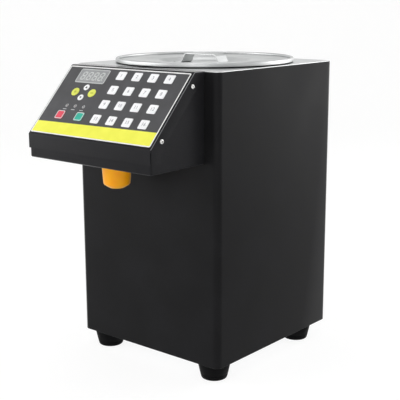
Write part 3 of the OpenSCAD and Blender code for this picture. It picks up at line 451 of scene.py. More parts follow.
def printed_film(name, dark, light, roughness=0.42):
    """Matt polyester overlay film, printed from behind: an even colour under a fine texture."""
    m, t, s, place = surface(name, Roughness=roughness, Specular_IOR_Level=0.4)
    tooth = grain(t, place, 1.1, detail=3)      # 0.05 mm in fact
    t.links.new(ramp(t, grain(t, place, 22, detail=3), [(0.35, dark), (0.65, light)]), s.inputs["Base Color"])
    t.links.new(between(t, tooth, roughness - 0.05, roughness + 0.06), s.inputs["Roughness"])
    bump(t, s, tooth, 0.02, 0.35)
    return m


def plastic(name, dark, light, roughness, **values):
    """Moulded plastic: nearly even colour, a fine moulded texture."""
    m, t, s, place = surface(name, Roughness=roughness, **values)
    flow = grain(t, place, 14, detail=3)
    t.links.new(ramp(t, flow, [(0.35, dark), (0.65, light)]), s.inputs["Base Color"])
    t.links.new(between(t, flow, roughness - 0.05, roughness + 0.06), s.inputs["Roughness"])
    bump(t, s, grain(t, place, 0.9, detail=3), 0.015, 0.35)
    return m


def orange_hood():
    """Translucent orange polypropylene: glows where light comes through, frosted inside."""
    m, t, s, place = surface("orange_polypropylene", Roughness=0.4, Subsurface_Weight=0.3, Specular_IOR_Level=0.25,
                             Subsurface_Radius=(1.0, 0.6, 0.1), Subsurface_Scale=0.003, IOR=1.49,
                             Sheen_Weight=0.7, Sheen_Roughness=0.3, Sheen_Tint=colour("#fff0d0"))
    flow = grain(t, place, 16, detail=3)
    t.links.new(ramp(t, flow, [(0.3, "#ffa200"), (0.7, "#ffae06")]), s.inputs["Base Color"])
    t.links.new(between(t, flow, 0.34, 0.48), s.inputs["Roughness"])
    bump(t, s, grain(t, place, 2.4), 0.03, 0.3)
    return m


def smooth_metal(name, dark, light, roughness):
    """Plain cast, machined or plated metal with a little uneven sheen."""
    m, t, s, place = surface(name, Metallic=1.0, Roughness=roughness)
    cloud = grain(t, place, 8, detail=4)
    t.links.new(ramp(t, cloud, [(0.35, dark), (0.65, light)]), s.inputs["Base Color"])
    t.links.new(between(t, cloud, roughness - 0.06, roughness + 0.08), s.inputs["Roughness"])
    bump(t, s, grain(t, place, 0.8, detail=3), 0.012, 0.4)
    return m


POWDER = powder_coat("black_powder_coat", ("#161617", "#1a1a1b", "#1f1f21"))
# the head's coat is the cabinet's coat drawn lighter, a painted lit copy that brightens the head's sides, with
# painted highlights on its folds
POWDER_HEAD_LIT_COPY = powder_coat("black_powder_coat_lit_copy_with_fold_highlights", ("#1d1d1f", "#222224", "#272729"), painted_fold_highlights=True)
BRUSHED = brushed_steel()
POLISHED = polished_steel()
ZINC = zinc_plate()
RUBBER = moulded_rubber()
FILM_GREY = printed_film("overlay_film_grey", "#3e3e40", "#464649")
FILM_YELLOW = printed_film("overlay_film_yellow", "#ecec4c", "#f3f358")
FILM_WHITE = printed_film("overlay_film_white", "#e9e9e8", "#f3f3f2")
FILM_WINDOW = printed_film("display_window_film", "#909293", "#9a9c9d", 0.3)
FILM_FRAME = printed_film("display_border_film", "#bfc1c1", "#c9cbcb", 0.34)
SEGMENT = printed_film("unlit_segment", "#c0c2c2", "#c9cbcb", 0.36)
INK = printed_film("grey_ink", "#85868c", "#919298", 0.5)
INK_PALE = printed_film("pale_ink", "#b4b4b6", "#c0c0c2", 0.5)
INK_LIGHT = printed_film("light_ink", "#cfcfd0", "#d9d9da", 0.5)
INK_OLIVE = printed_film("olive_ink", "#b3b936", "#bec43f", 0.5)
INK_BLACK = printed_film("black_ink", "#202022", "#28282a", 0.5)
KEY_WHITE = plastic("white_key_film", "#f3f3f5", "#fafafc", 0.42)
KEY_YELLOW = plastic("yellow_green_key_film", "#d8dd58", "#e2e766", 0.42)
KEY_RED = plastic("red_key_film", "#d93f53", "#e24b5f", 0.42)
KEY_GREEN = plastic("green_key_film", "#20ab95", "#2bb8a1", 0.42)
ORANGE = orange_hood()
BLACK_PLASTIC = plastic("black_polyamide", "#161617", "#1f1f20", 0.5)
DARK_PLASTIC = plastic("dark_abs", "#2c2c30", "#37373b", 0.5)
LAMP = plastic("smoked_lamp_lens", "#857f7d", "#948e8b", 0.25, Coat_Weight=0.5)
BOARD = plastic("green_solder_mask", "#1a6236", "#22733f", 0.35)
HOSE = plastic("milky_silicone", "#e2dfd4", "#efece3", 0.4, Transmission_Weight=0.2)
HEATER = plastic("silicone_heater_mat", "#a94e27", "#bd5b31", 0.6)
CASTING = smooth_metal("cast_aluminium", "#adb0b2", "#c2c5c7", roughness=0.42)
MOTOR = smooth_metal("motor_can", "#878b8e", "#9a9ea1", roughness=0.34)
BRASS = smooth_metal("cut_brass", "#bd9a3f", "#d0ae54", roughness=0.3)
NICKEL = smooth_metal("nickel_plate", "#c2c2c0", "#d4d4d2", roughness=0.24)
CASE = smooth_metal("aluminium_case", "#a8abae", "#babdc0", roughness=0.45)

NODE_FINISH = {
    POWDER: ["body_shell", "head_box", "head_cover", "back_panel"],
    ZINC: ["base_tray", "pump_bracket", "foot_screws"],
    BRUSHED: ["top_plate", "tank", "tank_drain", "nozzle_tube", "nozzle_nut", "back_screws", "cover_screws",
              "pump_cover"],
    POLISHED: ["lid", "lid_collar", "lid_handle"],
    RUBBER: ["feet", "lid_seal"],
    HEATER: ["tank_heater"],
    FILM_GREY: ["overlay"],
    FILM_WINDOW: ["display_window"],
    DARK_PLASTIC: ["display_module"],
    BOARD: ["control_board"],
    LAMP: ["indicator_lamps"],
    ORANGE: ["nozzle_hood"],
    CASTING: ["pump_case"],
    MOTOR: ["pump_motor"],
    BRASS: ["drive_gear", "idler_gear"],
    HOSE: ["suction_hose", "delivery_hose"],
    CASE: ["power_supply"],
    BLACK_PLASTIC: ["mains_inlet", "switch_frame", "switch_rocker"],
    KEY_WHITE: ["key_%02d" % i for i in range(1, 17)] + ["key_arrow_up", "key_arrow_down"],
    KEY_YELLOW: ["key_round_left", "key_round_right"],
    KEY_RED: ["key_red"],
    KEY_GREEN: ["key_green"],
}
for finish, nodes in NODE_FINISH.items():
    for node in nodes:
        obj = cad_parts[node]
        if not obj.material_slots:
            obj.data.materials.append(finish)
        for holder in obj.material_slots:
            holder.material = finish

# ---------------------------------------------------------------- cabinet

def cabinet_wrap():
    """The cabinet's four sides: one sheet folded round, open for the head in front and the panel behind."""
    half_w, r = BODY_W / 2, CORNER_R
    hatch_low, hatch_high, hatch_half = HEAD_Z + 12, HEAD_Z + 108, 98
    overlap = 9                             # of the service panel on the edge of its opening
    back_low, back_high, back_half = PANEL_FOOT + overlap, PANEL_FOOT + PANEL_HIGH - overlap, PANEL_W / 2 - overlap
    columns = [(-half_w + r, 0, ""), (HEAD_X - hatch_half, 0, "hatch"), (HEAD_X + hatch_half, 0, "")]
    columns += [(x, y, "") for x, y in arc(half_w - r, r, r, -90, 0, 10)]
    columns += [(x, y, "") for x, y in arc(half_w - r, BODY_D - r, r, 0, 90, 10)]
    columns += [(back_half, BODY_D, "back"), (-back_half, BODY_D, "")]
    columns += [(x, y, "") for x, y in arc(r - half_w, BODY_D - r, r, 90, 180, 10)]
    columns += [(x, y, "") for x, y in arc(r - half_w, r, r, 180, 270, 10)][:-1]
    rows = [FOOT_H, back_low, hatch_low, back_high, hatch_high, TOP - SHEET]
    verts = [(x, y, z) for z in rows for x, y, _ in columns]
    faces, n = [], len(columns)
    for j in range(len(rows) - 1):
        for i in range(n):
            opening = columns[i][2]
            if opening == "hatch" and hatch_low <= rows[j] < hatch_high:
                continue
            if opening == "back" and back_low <= rows[j] < back_high:
                continue
            faces.append([j * n + i, j * n + (i + 1) % n, (j + 1) * n + (i + 1) % n, (j + 1) * n + i])
    return sheet_metal("cabinet_wrap", verts, faces, SHEET, 0)


piece("cabinet_wrap", cabinet_wrap(), POWDER, "cabinet", replaces=["body_shell"],
      bevel=0.3, segments=2)

middle, tank_hole_r, skirt_h, skirt_in = BODY_D / 2, 120.3, 10, 3
top_sheet = plate("top_sheet", rectangle(BODY_W, BODY_D, CORNER_R, 0, middle, 10), TOP - SHEET, TOP,
                  [disc(tank_hole_r, 0, TANK_Y, 128)])
skirt_w, skirt_d, skirt_r = BODY_W - skirt_in, BODY_D - skirt_in, CORNER_R - skirt_in / 2
top_skirt = plate("top_skirt", rectangle(skirt_w, skirt_d, skirt_r, 0, middle, 8), TOP - SHEET - skirt_h, TOP - SHEET,
                  [rectangle(skirt_w - 2 * SHEET, skirt_d - 2 * SHEET, skirt_r - SHEET, 0, middle, 8)])
piece("top_sheet", joined("top_sheet", top_sheet, top_skirt), BRUSHED, "cabinet",
      replaces=["top_plate"], bevel=0.35, segments=3)

FOOT_R, FOOT_LOW_R = 23.5, 19
FOOT_SIDE, FOOT_FRONT, FEET_ACROSS, FEET_ALONG = 26, 24, 209.5, 206    # in from the right and the front, and apart
foot = lathe("foot", [(7.5, 0.6), (8.1, 0)] + arc(FOOT_LOW_R - 3, 3, 3, -90, -12, 8)
             + [(FOOT_LOW_R + 0.9, 6.2), (FOOT_LOW_R + 0.5, 6.8), (FOOT_LOW_R + 0.65, 7.4), (FOOT_LOW_R + 1.35, 8)]
             + [(FOOT_R - 0.3, FOOT_H - 3)] + arc(FOOT_R - 0.8, FOOT_H - 0.8, 0.8, 0, 90, 4)
             + [(2.6, FOOT_H), (2.6, 9), (7.5, 9)], 72)
feet = [(BODY_W / 2 - FOOT_SIDE - FEET_ACROSS * i, FOOT_FRONT + FEET_ALONG * j) for i in (0, 1) for j in (0, 1)]
piece("rubber_feet", joined("rubber_feet", *[moved(foot, spot(*p)) for p in feet]), RUBBER, "cabinet",
      replaces=["feet"], sharp=40)

# ---------------------------------------------------------------- lid

RECESS, RECESS_R, SLOPE_W, LID_T = 6, 58, 14, 1
ring_z = LID_SEAT + 0.6
middle_z = ring_z - RECESS
dip = [(RECESS_R + SLOPE_W * k / 12, middle_z + RECESS * (1 - math.cos(math.pi * k / 12)) / 2) for k in range(13)]
upper = [(0, middle_z), (20, middle_z), (40, middle_z)] + dip
brim = [(95, ring_z), (117.2, ring_z), (119, ring_z + 0.06), (121.4, ring_z + 0.3), (123.2, ring_z + 0.4)]
bead = arc(130.5, LID_SEAT + 2.5, 2.5, 216.87, 0, 16) + arc(131.8, LID_SEAT - 0.3, 1.2, 0, -180, 8)
under = [(130.6, LID_SEAT + 1), (128.6, LID_SEAT), (123.2, LID_SEAT), (117.2, ring_z - LID_T)]
lid_profile = upper + brim + bead + under + [(r, z - LID_T) for r, z in reversed(upper)]
piece("spun_lid", lathe("spun_lid", lid_profile, 160, closed=False), POLISHED, "lid",
      CABINET @ TANK_AXIS, replaces=["lid"], sharp=50)

HANDLE_L, HANDLE_W, HANDLE_T, HANDLE_GAP = 104, 24, 2, 13
GRIP_HALF, LEG_HALF, WELD_X, WELD_Y = 29, 36, 44.5, 6
foot_z, top_z = middle_z + HANDLE_T / 2, middle_z + HANDLE_GAP + HANDLE_T / 2
strap = rounded([(-HANDLE_L / 2, foot_z), (-LEG_HALF, foot_z), (-GRIP_HALF, top_z),
                 (GRIP_HALF, top_z), (LEG_HALF, foot_z), (HANDLE_L / 2, foot_z)], 5, 8)
handle = sweep("strap_handle", rectangle(HANDLE_W, HANDLE_T, 0.7), [(x, 0, z) for x, z in strap], Vector((0, 1, 0)))
weld = lathe("weld", [(0, middle_z + 2.25), (1.6, middle_z + 2.2), (2.4, middle_z + 1.95), (2.4, middle_z + 1.5),
                      (0, middle_z + 1.5)], 24, closed=False)
welds = [moved(weld, spot(x, y)) for x in (-WELD_X, WELD_X) for y in (-WELD_Y, WELD_Y)]
piece("strap_handle", joined("strap_handle", handle, *welds), POLISHED, "lid",
      CABINET @ TANK_AXIS, replaces=["lid_handle"], sharp=40)

# ---------------------------------------------------------------- head

def head_skin(name, half_w, line, side, thickness, bend):
    """A sheet folded along a [y, z] line, with a flange folded back at each side."""
    verts = [(s * half_w, y, z) for s in (-1, 1) for y, z in line + side]
    n = len(line) + len(side)
    faces = [[i, n + i, n + i + 1, i + 1] for i in range(len(line) - 1)]
    faces.append(list(range(n)))
    faces.append([n + i for i in reversed(range(n))])
    return sheet_metal(name, verts, faces, thickness, bend)


lip, fold, crest, rear = (-HEAD_OUT, LIP_Z), (-HEAD_OUT, BEND_Z), (-STRIP, TOP), (0, TOP)
along = Vector((math.cos(TILT), math.sin(TILT)))
FLANGE = 19
inwards = Vector((math.sin(TILT), -math.cos(TILT))) * FLANGE
low_in, high_in = Vector(fold) + inwards, Vector(crest) + inwards
side_low = low_in + along * (-HEAD_OUT + FLANGE - low_in.x) / along.x
side_high = high_in + along * (0 - high_in.x) / along.x
skin = head_skin("folded_cover", HEAD_W / 2, [lip, fold, crest, rear],
                 [tuple(side_high), tuple(side_low), (-HEAD_OUT + FLANGE, LIP_Z)], COVER_T, 1.4)
slit = plate("slit", [(-0.6, -3), (0.6, -3), (0.6, 3), (-0.6, 3)], LIP_Z - 1, BEND_Z - 1.5)   # the lip's open corners
slits = [moved(slit, spot(side * HEAD_W / 2, -HEAD_OUT) @ Matrix.Rotation(side * math.radians(45), 4, "Z"))
         for side in (-1, 1)]
# the fast solver, because the exact one drops the cover's slope
piece("folded_cover", cut(skin, joined("slits", *slits), "FAST"),
      POWDER_HEAD_LIT_COPY, "cabinet", HEAD, replaces=["head_cover"], bevel=0.25, segments=2, sharp=40)
box_out, box_top = HEAD_OUT - COVER_T - 1, TOP - 2.6
box_skin = head_skin("folded_box", HEAD_W / 2 - COVER_T - 1,
                     [(-box_out, BEND_Z - 4), (-box_out, HEAD_Z), (0, HEAD_Z)],
                     [(0, box_top), (-21, box_top)], SHEET, 1.6)
piece("folded_box", box_skin,
      POWDER_HEAD_LIT_COPY, "cabinet", HEAD, replaces=["head_box"], bevel=0.25, segments=2, sharp=40)


def pan_screw(head_r, head_t, arm):
    """A pan head with a cross recess, its seat at z = 0."""
    turns = [math.radians(a) for a in range(0, 91, 10)]
    crown = [(head_r - head_t * 0.62 * (1 - math.cos(a)), head_t * (0.34 + 0.66 * math.sin(a))) for a in turns]
    head = lathe("screw", [(0, -1), (head_r * 0.6, -1), (head_r * 0.6, 0), (head_r - 0.15, 0), (head_r, 0.15)]
                 + crown + [(0, head_t)], 40, closed=False)
    a, b = arm / 2, arm / 4.5
    cross = plate("cross", [(a, b), (b, b), (b, a), (-b, a), (-b, b), (-a, b), (-a, -b), (-b, -b), (-b, -a), (b, -a),
                            (b, -b), (a, -b)], head_t * 0.15, head_t + 1)
    return cut(head, cross)


cover_screw = pan_screw(3.3, 2.1, 3.6)
screws = [moved(cover_screw, spot(side * HEAD_W / 2, v, -8.6) @ Matrix.Rotation(side * math.pi / 2, 4, "Y")
                @ Matrix.Rotation(v, 4, "Z")) for side in (-1, 1) for v in (20, PANEL_L - 17)]
piece("cover_pan_screws", joined("cover_pan_screws", *screws), NICKEL, "cabinet", SLOPE,
      replaces=["cover_screws"], sharp=35)

# ---------------------------------------------------------------- outlet

HOOD_H, OUTLET_OUT = 39, 50                # the hood's height, and how far ahead of the cabinet it hangs
hood_z, mouth = HEAD_Z - HOOD_H, 10
dome = [(r, hood_z + 0.0225 * (r * r - mouth * mouth)) for r in (mouth, 11.5, 13, 14.5, 16, 17.3)]
edge_z = dome[-1][1] + 1.6
hood_profile = ([(5.2, HEAD_Z), (5.2, HEAD_Z - 3)]
                + rounded([(5.2, HEAD_Z - 3), (19, HEAD_Z - 3), (16.7, edge_z + 1)], 3, 5)[1:-1]
                + [(16.7, edge_z + 1)] + [(r - 0.6, z + 1.9) for r, z in reversed(dome[1:-1])]
                + [(mouth - 0.2, hood_z + 1.2)] + dome
                + [(18.05, edge_z - 0.75), (18.5, edge_z), (18.8, edge_z + 1.2)]
                + [(19.5, hood_z + 15), (20.1, hood_z + 25)] + arc(19.5, HEAD_Z - 1.5, 1.5, 0, 90, 5))
piece("orange_hood", lathe("orange_hood", hood_profile, 128), ORANGE, "cabinet",
      HEAD @ spot(0, -OUTLET_OUT), replaces=["nozzle_hood"], sharp=40)

# ---------------------------------------------------------------- key panel

PRINT_T = 0.06                             # print stands this far off the film, so that it never flickers
KEY_TOP = OVERLAY_T + KEY_PROUD
KEY_UNDER = 0.57                           # a pressed cap stays clear of the folded cover
BORDER = 1.8
BAND_HIGH, BAND_FALL = 26.2, 2.8           # the yellow band's upper edge on the right, and its fall to the left
DOSE_U, DOSE_V, DOSE_PITCH_U, DOSE_PITCH_V = -5.2, 36, 29.6, 24.85      # the lowest left dose key, and the steps
ROUND_V, ROUND_R, ARROW_R, ARROW_HALF = 77.4, 6.8, 5, 8.9               # the arrow keys are above and below ROUND_V
MODE_V, MODE_HALF = 36.8, 19.2             # the red and the green key, and how far each is from SIDE_U
LAMP_V, LAMP_RING_R, LAMP_HOLE_R, DASH_DROP = 53.4, 2.5, 1.9, 6.4
KEY_TEXT, MARK_TEXT = 7.6, 4.2             # heights of the numerals on the keys and of the marks on the switch


def printed(name, outline, material, holes=()):
    """A flat print on the overlay."""
    piece(name, plate(name, outline, OVERLAY_T, OVERLAY_T + PRINT_T, holes), material, "cabinet", SLOPE)


overlay_mid = OVERLAY_V + OVERLAY_L / 2
printed("overlay_border", rectangle(OVERLAY_W, OVERLAY_L, 2, 0, overlay_mid), FILM_WHITE,
        [rectangle(OVERLAY_W - 2 * BORDER, OVERLAY_L - 2 * BORDER, 0.8, 0, overlay_mid)])
band_u, band_low = OVERLAY_W / 2 - BORDER, OVERLAY_V + BORDER
printed("overlay_band", [(-band_u, band_low), (band_u, band_low), (band_u, BAND_HIGH),
                         (-band_u, BAND_HIGH - BAND_FALL)], FILM_YELLOW)


def key_cap(name, outline, material, place, marks=()):
    """A key's flat cap with a soft edge, and the print on it."""
    piece(name + "_cap", plate(name, outline, KEY_UNDER, KEY_TOP), material, name, place,
          replaces=[name], bevel=0.22)
    for k, (mark, ink) in enumerate(marks):
        piece("%s_mark_%d" % (name, k), mark, ink, name, place)


for i in range(16):
    u, v = DOSE_U + (i % 4) * DOSE_PITCH_U, DOSE_V + (3 - i // 4) * DOSE_PITCH_V
    number = lettering("number", str(i + 1), KEY_TEXT, KEY_TOP, KEY_TOP + PRINT_T)
    key_cap("key_%02d" % (i + 1), rectangle(KEY_W, KEY_L, KEY_R), KEY_WHITE, SLOPE @ spot(u, v),
            [(number, INK)])

dot = plate("dot", disc(2.0), KEY_TOP, KEY_TOP + PRINT_T)
bar = plate("bar", rectangle(6.2, 2.0, 0.8), KEY_TOP, KEY_TOP + PRINT_T)
for name, side, mark in (("key_round_left", -1, dot), ("key_round_right", 1, bar)):
    key_cap(name, disc(ROUND_R), KEY_YELLOW, SLOPE @ spot(SIDE_U + side * SIDE_HALF, ROUND_V),
            [(mark, INK_OLIVE)])
for name, side in (("key_arrow_up", 1), ("key_arrow_down", -1)):
    arrow = plate("arrow", [(-2.3, -1.5 * side), (2.3, -1.5 * side), (0, 2.2 * side)], KEY_TOP, KEY_TOP + PRINT_T)
    key_cap(name, disc(ARROW_R), KEY_WHITE, SLOPE @ spot(SIDE_U, ROUND_V + side * ARROW_HALF),
            [(arrow, INK_BLACK)])
ring = plate("ring", rectangle(KEY_W - 0.5, KEY_L - 0.5, KEY_R + 0.5), KEY_TOP, KEY_TOP + PRINT_T,
             [rectangle(KEY_W - 2.9, KEY_L - 2.9, KEY_R - 0.2)])
for name, side, finish, slot in (("key_red", -1, KEY_RED, "red_key"), ("key_green", 1, KEY_GREEN, "green_key")):
    key_cap(name, rectangle(KEY_W, KEY_L, KEY_R + 0.7), finish, SLOPE @ spot(SIDE_U + side * MODE_HALF, MODE_V),
            [(ring.copy(), INK_LIGHT)])

# the display: a window of pale film with a lighter border and four unlit digits
window = plate("window", rectangle(WINDOW_W - 0.6, WINDOW_L - 0.6, 2, WINDOW_U, WINDOW_V), 0.1, OVERLAY_T)
piece("display_film", window, FILM_WINDOW, "cabinet", SLOPE, replaces=["display_window"], bevel=0.15)
printed("display_border", rectangle(WINDOW_W, WINDOW_L, 2.8, WINDOW_U, WINDOW_V), FILM_FRAME,
        [rectangle(WINDOW_W - 2.8, WINDOW_L - 2.8, 1.4, WINDOW_U, WINDOW_V)])


def digit(w, h, t):
    """The seven bars of a digit, each a flat hexagon, leaning to the right."""
    a, b, gap = w / 2, h / 2, 0.25
    bars = []
    for y in (-b, 0, b):
        bars.append([(-a + gap, y), (-a + t / 2 + gap, y + t / 2), (a - t / 2 - gap, y + t / 2), (a - gap, y),
                     (a - t / 2 - gap, y - t / 2), (-a + t / 2 + gap, y - t / 2)])
    for x in (-a, a):
        for low, high in ((-b, 0), (0, b)):
            bars.append([(x, low + gap), (x + t / 2, low + t / 2 + gap), (x + t / 2, high - t / 2 - gap),
                         (x, high - gap), (x - t / 2, high - t / 2 - gap), (x - t / 2, low + t / 2 + gap)])
    return [[(x + 0.14 * y, y) for x, y in outline] for outline in bars]


DIGIT_W, DIGIT_H, DIGIT_PITCH, BAR_W, POINT_R, POINT_OUT = 6.8, 12.8, 11.6, 1.9, 0.8, 4.6
SEGMENT_T = 0.04
digit_us = [WINDOW_U + (k - 1.5) * DIGIT_PITCH for k in range(4)]
segments = [plate("bar", [(x + u, y + WINDOW_V) for x, y in outline], OVERLAY_T, OVERLAY_T + SEGMENT_T)
            for u in digit_us for outline in digit(DIGIT_W, DIGIT_H, BAR_W)]
segments += [plate("point", disc(POINT_R, u + POINT_OUT, WINDOW_V - DIGIT_H / 2, 16), OVERLAY_T,
                   OVERLAY_T + SEGMENT_T) for u in digit_us]
piece("display_digits", joined("display_digits", *segments), SEGMENT, "cabinet", SLOPE)

lens = lathe("lens", [(0, 0.1), (1.6, 0.1), (1.6, OVERLAY_T)] + arc(0, OVERLAY_T - 1.6, 2.26, 45, 88, 5)
             + [(0, OVERLAY_T + 0.66)], 28, closed=False)
lamp_us = [SIDE_U + side * SIDE_HALF for side in (-1, 0, 1)]
piece("lamp_lenses", joined("lamp_lenses", *[moved(lens, spot(u, LAMP_V)) for u in lamp_us]), LAMP, "cabinet",
      SLOPE, replaces=["indicator_lamps"])
for k, u in enumerate(lamp_us):
    printed("lamp_ring_%d" % k, disc(LAMP_RING_R, u, LAMP_V, 32), INK_PALE, [disc(LAMP_HOLE_R, u, LAMP_V, 32)])
    printed("lamp_dash_%d" % k, rectangle(7.0, 1.1, 0.4, u - 0.6, LAMP_V - DASH_DROP), INK_PALE)

# ---------------------------------------------------------------- back

VENT_L, VENT_W, VENT_PITCH = 56, 4, 12
slots = [rectangle(VENT_L, VENT_W, 1.9, side * PANEL_W / 5, PANEL_FOOT + PANEL_HIGH / 2 + VENT_PITCH * k, 8)
         for side in (-1, 1) for k in range(10)]


def socket_outline(w, h, chamfer):
    """A rectangle with its two upper corners cut, about the socket's middle."""
    a, b = w / 2, h / 2
    return [(x - SOCKET_X, y + SOCKET_Z) for x, y in
            ((-a, -b), (a, -b), (a, b - chamfer), (a - chamfer, b), (chamfer - a, b), (-a, b - chamfer))]


switch_hole = rectangle(13.6, 20.1, 0.5, -SWITCH_X, SOCKET_Z)
panel = plate("service_panel", rectangle(PANEL_W, PANEL_HIGH, 5, 0, PANEL_FOOT + PANEL_HIGH / 2), 0, SHEET,
              slots + [socket_outline(27.6, 20.6, 6), switch_hole])
piece("service_panel", panel, POWDER, "cabinet", BACK, replaces=["back_panel"],
      bevel=0.3, segments=2)

back_screw, SCREW_IN = pan_screw(3.2, 1.8, 3.8), 4.5
spots = [(side * (PANEL_W / 2 - SCREW_IN), PANEL_FOOT + SCREW_IN + k * (PANEL_HIGH - 2 * SCREW_IN) / 2)
         for side in (-1, 1) for k in range(3)]
screws = [moved(back_screw, spot(x, z, SHEET) @ Matrix.Rotation(x + z, 4, "Z")) for x, z in spots]
piece("back_pan_screws", joined("back_pan_screws", *screws), NICKEL, "cabinet", BACK,
      replaces=["back_screws"], sharp=35)

screw_us = [-SOCKET_X - 20, -SOCKET_X + 20]
mouth_outline, wall_outline, mouth_floor, FLOOR_T = socket_outline(24.4, 16.6, 5), socket_outline(27, 20, 6), -13.8, 5
inlet = joined("socket",
               plate("flange", rectangle(48, 24, 4, -SOCKET_X, SOCKET_Z), SHEET, SHEET + 2,
                     [mouth_outline] + [disc(3.1, u, SOCKET_Z, 24) for u in screw_us]),
               plate("walls", wall_outline, mouth_floor, SHEET, [mouth_outline]),
               plate("floor", wall_outline, mouth_floor - FLOOR_T, mouth_floor))
piece("appliance_inlet", inlet, BLACK_PLASTIC, "cabinet", BACK, replaces=["mains_inlet"],
      bevel=0.3, segments=2)
pins = [plate("pin", rectangle(2, 4, 0.4, -SOCKET_X + x, SOCKET_Z + y), mouth_floor - 0.7, -0.8)
        for x, y in ((-7, -2.5), (7, -2.5), (0, 2.5))]
piece("inlet_pins", joined("inlet_pins", *pins), NICKEL, "cabinet", BACK, bevel=0.3, segments=2)
sunk_screw = pan_screw(2.9, 0.7, 3.2)
screws = [moved(sunk_screw, spot(u, SOCKET_Z, SHEET + 1.2)) for u in screw_us]
piece("inlet_screws", joined("inlet_screws", *screws), NICKEL, "cabinet", BACK, sharp=35)

rocker_hole = rectangle(11.6, 18.4, 0.4, -SWITCH_X, SOCKET_Z)
well_outline, well_floor = rectangle(13, 19.5, 0.5, -SWITCH_X, SOCKET_Z), -9.8
surround = joined("surround",
                  plate("rim", rectangle(15, 21, 1.5, -SWITCH_X, SOCKET_Z), SHEET, SHEET + 1.8, [rocker_hole]),
                  plate("well", well_outline, well_floor, SHEET, [rocker_hole]),
                  plate("floor", well_outline, well_floor - FLOOR_T, well_floor))
piece("switch_surround", surround, BLACK_PLASTIC, "cabinet", BACK, replaces=["switch_frame"],
      bevel=0.3, segments=2)
ROCKER_IN, ROCKER_HALF, ROCKER_LEAN = 3.6, 5.5, math.radians(10)    # its axle's depth, half its width, its rest
rocker_place = CABINET @ spot(SWITCH_X, BODY_D + SHEET - ROCKER_IN, SOCKET_Z) @ Matrix.Rotation(ROCKER_LEAN, 4, "X")
paddle = rounded([(0, -8.1), (3.4, -8.1), (4.2, -7.3), (3.2, 0), (4.2, 7.3), (3.4, 8.1), (0, 8.1)],
                 [0, 0.4, 0.6, 12, 0.6, 0.4, 0], 5, closed=True)
barrel = plate("barrel", arc(0, 0, 5.5, 90, 270, 20), -ROCKER_HALF, ROCKER_HALF)
rocker = joined("rocker", plate("paddle", paddle, -ROCKER_HALF, ROCKER_HALF), barrel)
piece("rocker", moved(rocker, ACROSS), BLACK_PLASTIC, "switch_rocker", rocker_place,
      replaces=["switch_rocker"], bevel=0.25, segments=2)
for name, text, side in (("mark_on", "I", 1), ("mark_off", "O", -1)):
    lean = Matrix.Rotation(side * math.atan2(1, 7.3), 4, "X")      # the paddle's own slope
    piece(name, moved(lettering(name, text, MARK_TEXT, 0, 0.05), FROM_BEHIND @ lean), FILM_WHITE, "switch_rocker",
          rocker_place @ spot(0, 3.83, side * 4.4))

# ---------------------------------------------------------------- studio

def seen(tree):
    """1 for rays that see a surface, straight or in a shine or through glass, and 0 for those that light it."""
    ray = add(tree, "ShaderNodeLightPath").outputs
    first = add(tree, "ShaderNodeMath", {0: ray["Is Camera Ray"], 1: ray["Is Glossy Ray"]}, operation="MAXIMUM")
    return add(tree, "ShaderNodeMath", {0: first.outputs[0], 1: ray["Is Transmission Ray"]},
               operation="MAXIMUM").outputs[0]


def backdrop():
    """A pale floor that curves up into a round wall."""
    m, t, s, place = surface("paper_backdrop", Roughness=0.9, Specular_IOR_Level=0.2)
    t.links.new(ramp(t, grain(t, place, 400, detail=2), [(0.3, "#f6f6f5"), (0.7, "#fafaf9")]), s.inputs["Base Color"])
    share = add(t, "ShaderNodeMath", {0: seen(t), 1: 0.8}, operation="MULTIPLY")
    glow = add(t, "ShaderNodeEmission", {"Color": colour("#ffffff"), "Strength": 1.1})
    both = add(t, "ShaderNodeMixShader", {0: share.outputs[0], 1: s.outputs[0], 2: glow.outputs[0]})
    t.links.new(both.outputs[0], t.nodes["Material Output"].inputs["Surface"])
    bowl = lathe("backdrop", [(0, 0), (1.0, 0), (2.4, 0)] + arc(2.4, 1.2, 1.2, -90, 0, 12) + [(3.6, 3.2)], 64,
                 closed=False)
    bowl.materials.append(m)
    bowl.polygons.foreach_set("use_smooth", [True] * len(bowl.polygons))
    floor = bpy.data.objects.new("backdrop", bowl)
    bpy.context.collection.objects.link(floor)


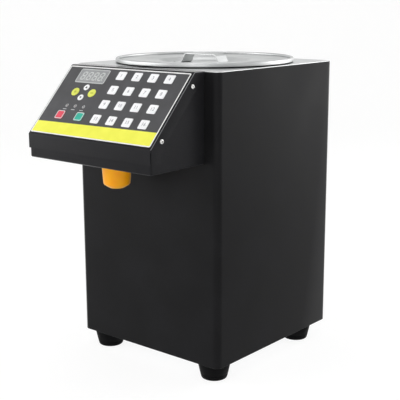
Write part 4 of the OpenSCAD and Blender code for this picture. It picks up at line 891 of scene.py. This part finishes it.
def softbox(name, place, aim, size, watts):
    """A round soft lamp. Places and sizes are in metres."""
    light = bpy.data.lights.new(name, "AREA")
    light.shape, light.size, light.energy = "DISK", size, watts
    obj = bpy.data.objects.new(name, light)
    bpy.context.collection.objects.link(obj)
    obj.location = place
    obj.rotation_euler = (Vector(aim) - Vector(place)).to_track_quat("-Z", "Y").to_euler()


backdrop()
softbox("front_left_softbox", (-1.45, -1.35, 0.6), (0, 0, 0.28), 2.0, 28)
softbox("front_right_fill", (1.0, -1.6, 0.2), (0, -0.2, 0.27), 1.2, 9)
softbox("back_right_softbox", (1.15, 1.8, 0.75), (0, 0, 0.28), 1.7, 22)
softbox("top_softbox", (0.0, 0.0, 2.3), (0, 0, 0.3), 1.6, 14)

world = bpy.data.worlds.new("studio")
bpy.context.scene.world = world
world.use_nodes = True
sky = world.node_tree
brightness = add(sky, "ShaderNodeMapRange", {"Value": seen(sky), "To Min": 0.25, "To Max": 0.7}).outputs["Result"]
sky.links.new(brightness, sky.nodes["Background"].inputs["Strength"])
sky.nodes["Background"].inputs["Color"].default_value = colour("#ffffff")

# ---------------------------------------------------------------- camera

YAW, PITCH, ROLL = math.radians(39.94), math.radians(12.56), math.radians(-0.19)
FOCAL_PX, PICTURE_PX = 920.5, 400          # focal length and picture width in pixels
CAMERA_PLACE = (888.54, -937.5, 535.8)
ahead = Vector((-math.sin(YAW) * math.cos(PITCH), math.cos(YAW) * math.cos(PITCH), -math.sin(PITCH)))
level = Vector((math.cos(YAW), math.sin(YAW), 0))
upright = level.cross(ahead)
right = math.cos(ROLL) * level + math.sin(ROLL) * upright
up = -math.sin(ROLL) * level + math.cos(ROLL) * upright
camera_data = bpy.data.cameras.new("camera")
camera_data.sensor_width = 36
camera_data.lens = FOCAL_PX / PICTURE_PX * camera_data.sensor_width
camera = bpy.data.objects.new("camera", camera_data)
bpy.context.collection.objects.link(camera)
camera.matrix_world = Matrix.Translation(CABINET @ Vector(CAMERA_PLACE)) @ frame_of(right, up, -ahead)
bpy.context.scene.camera = camera
bpy.context.scene.view_settings.view_transform = "Standard"
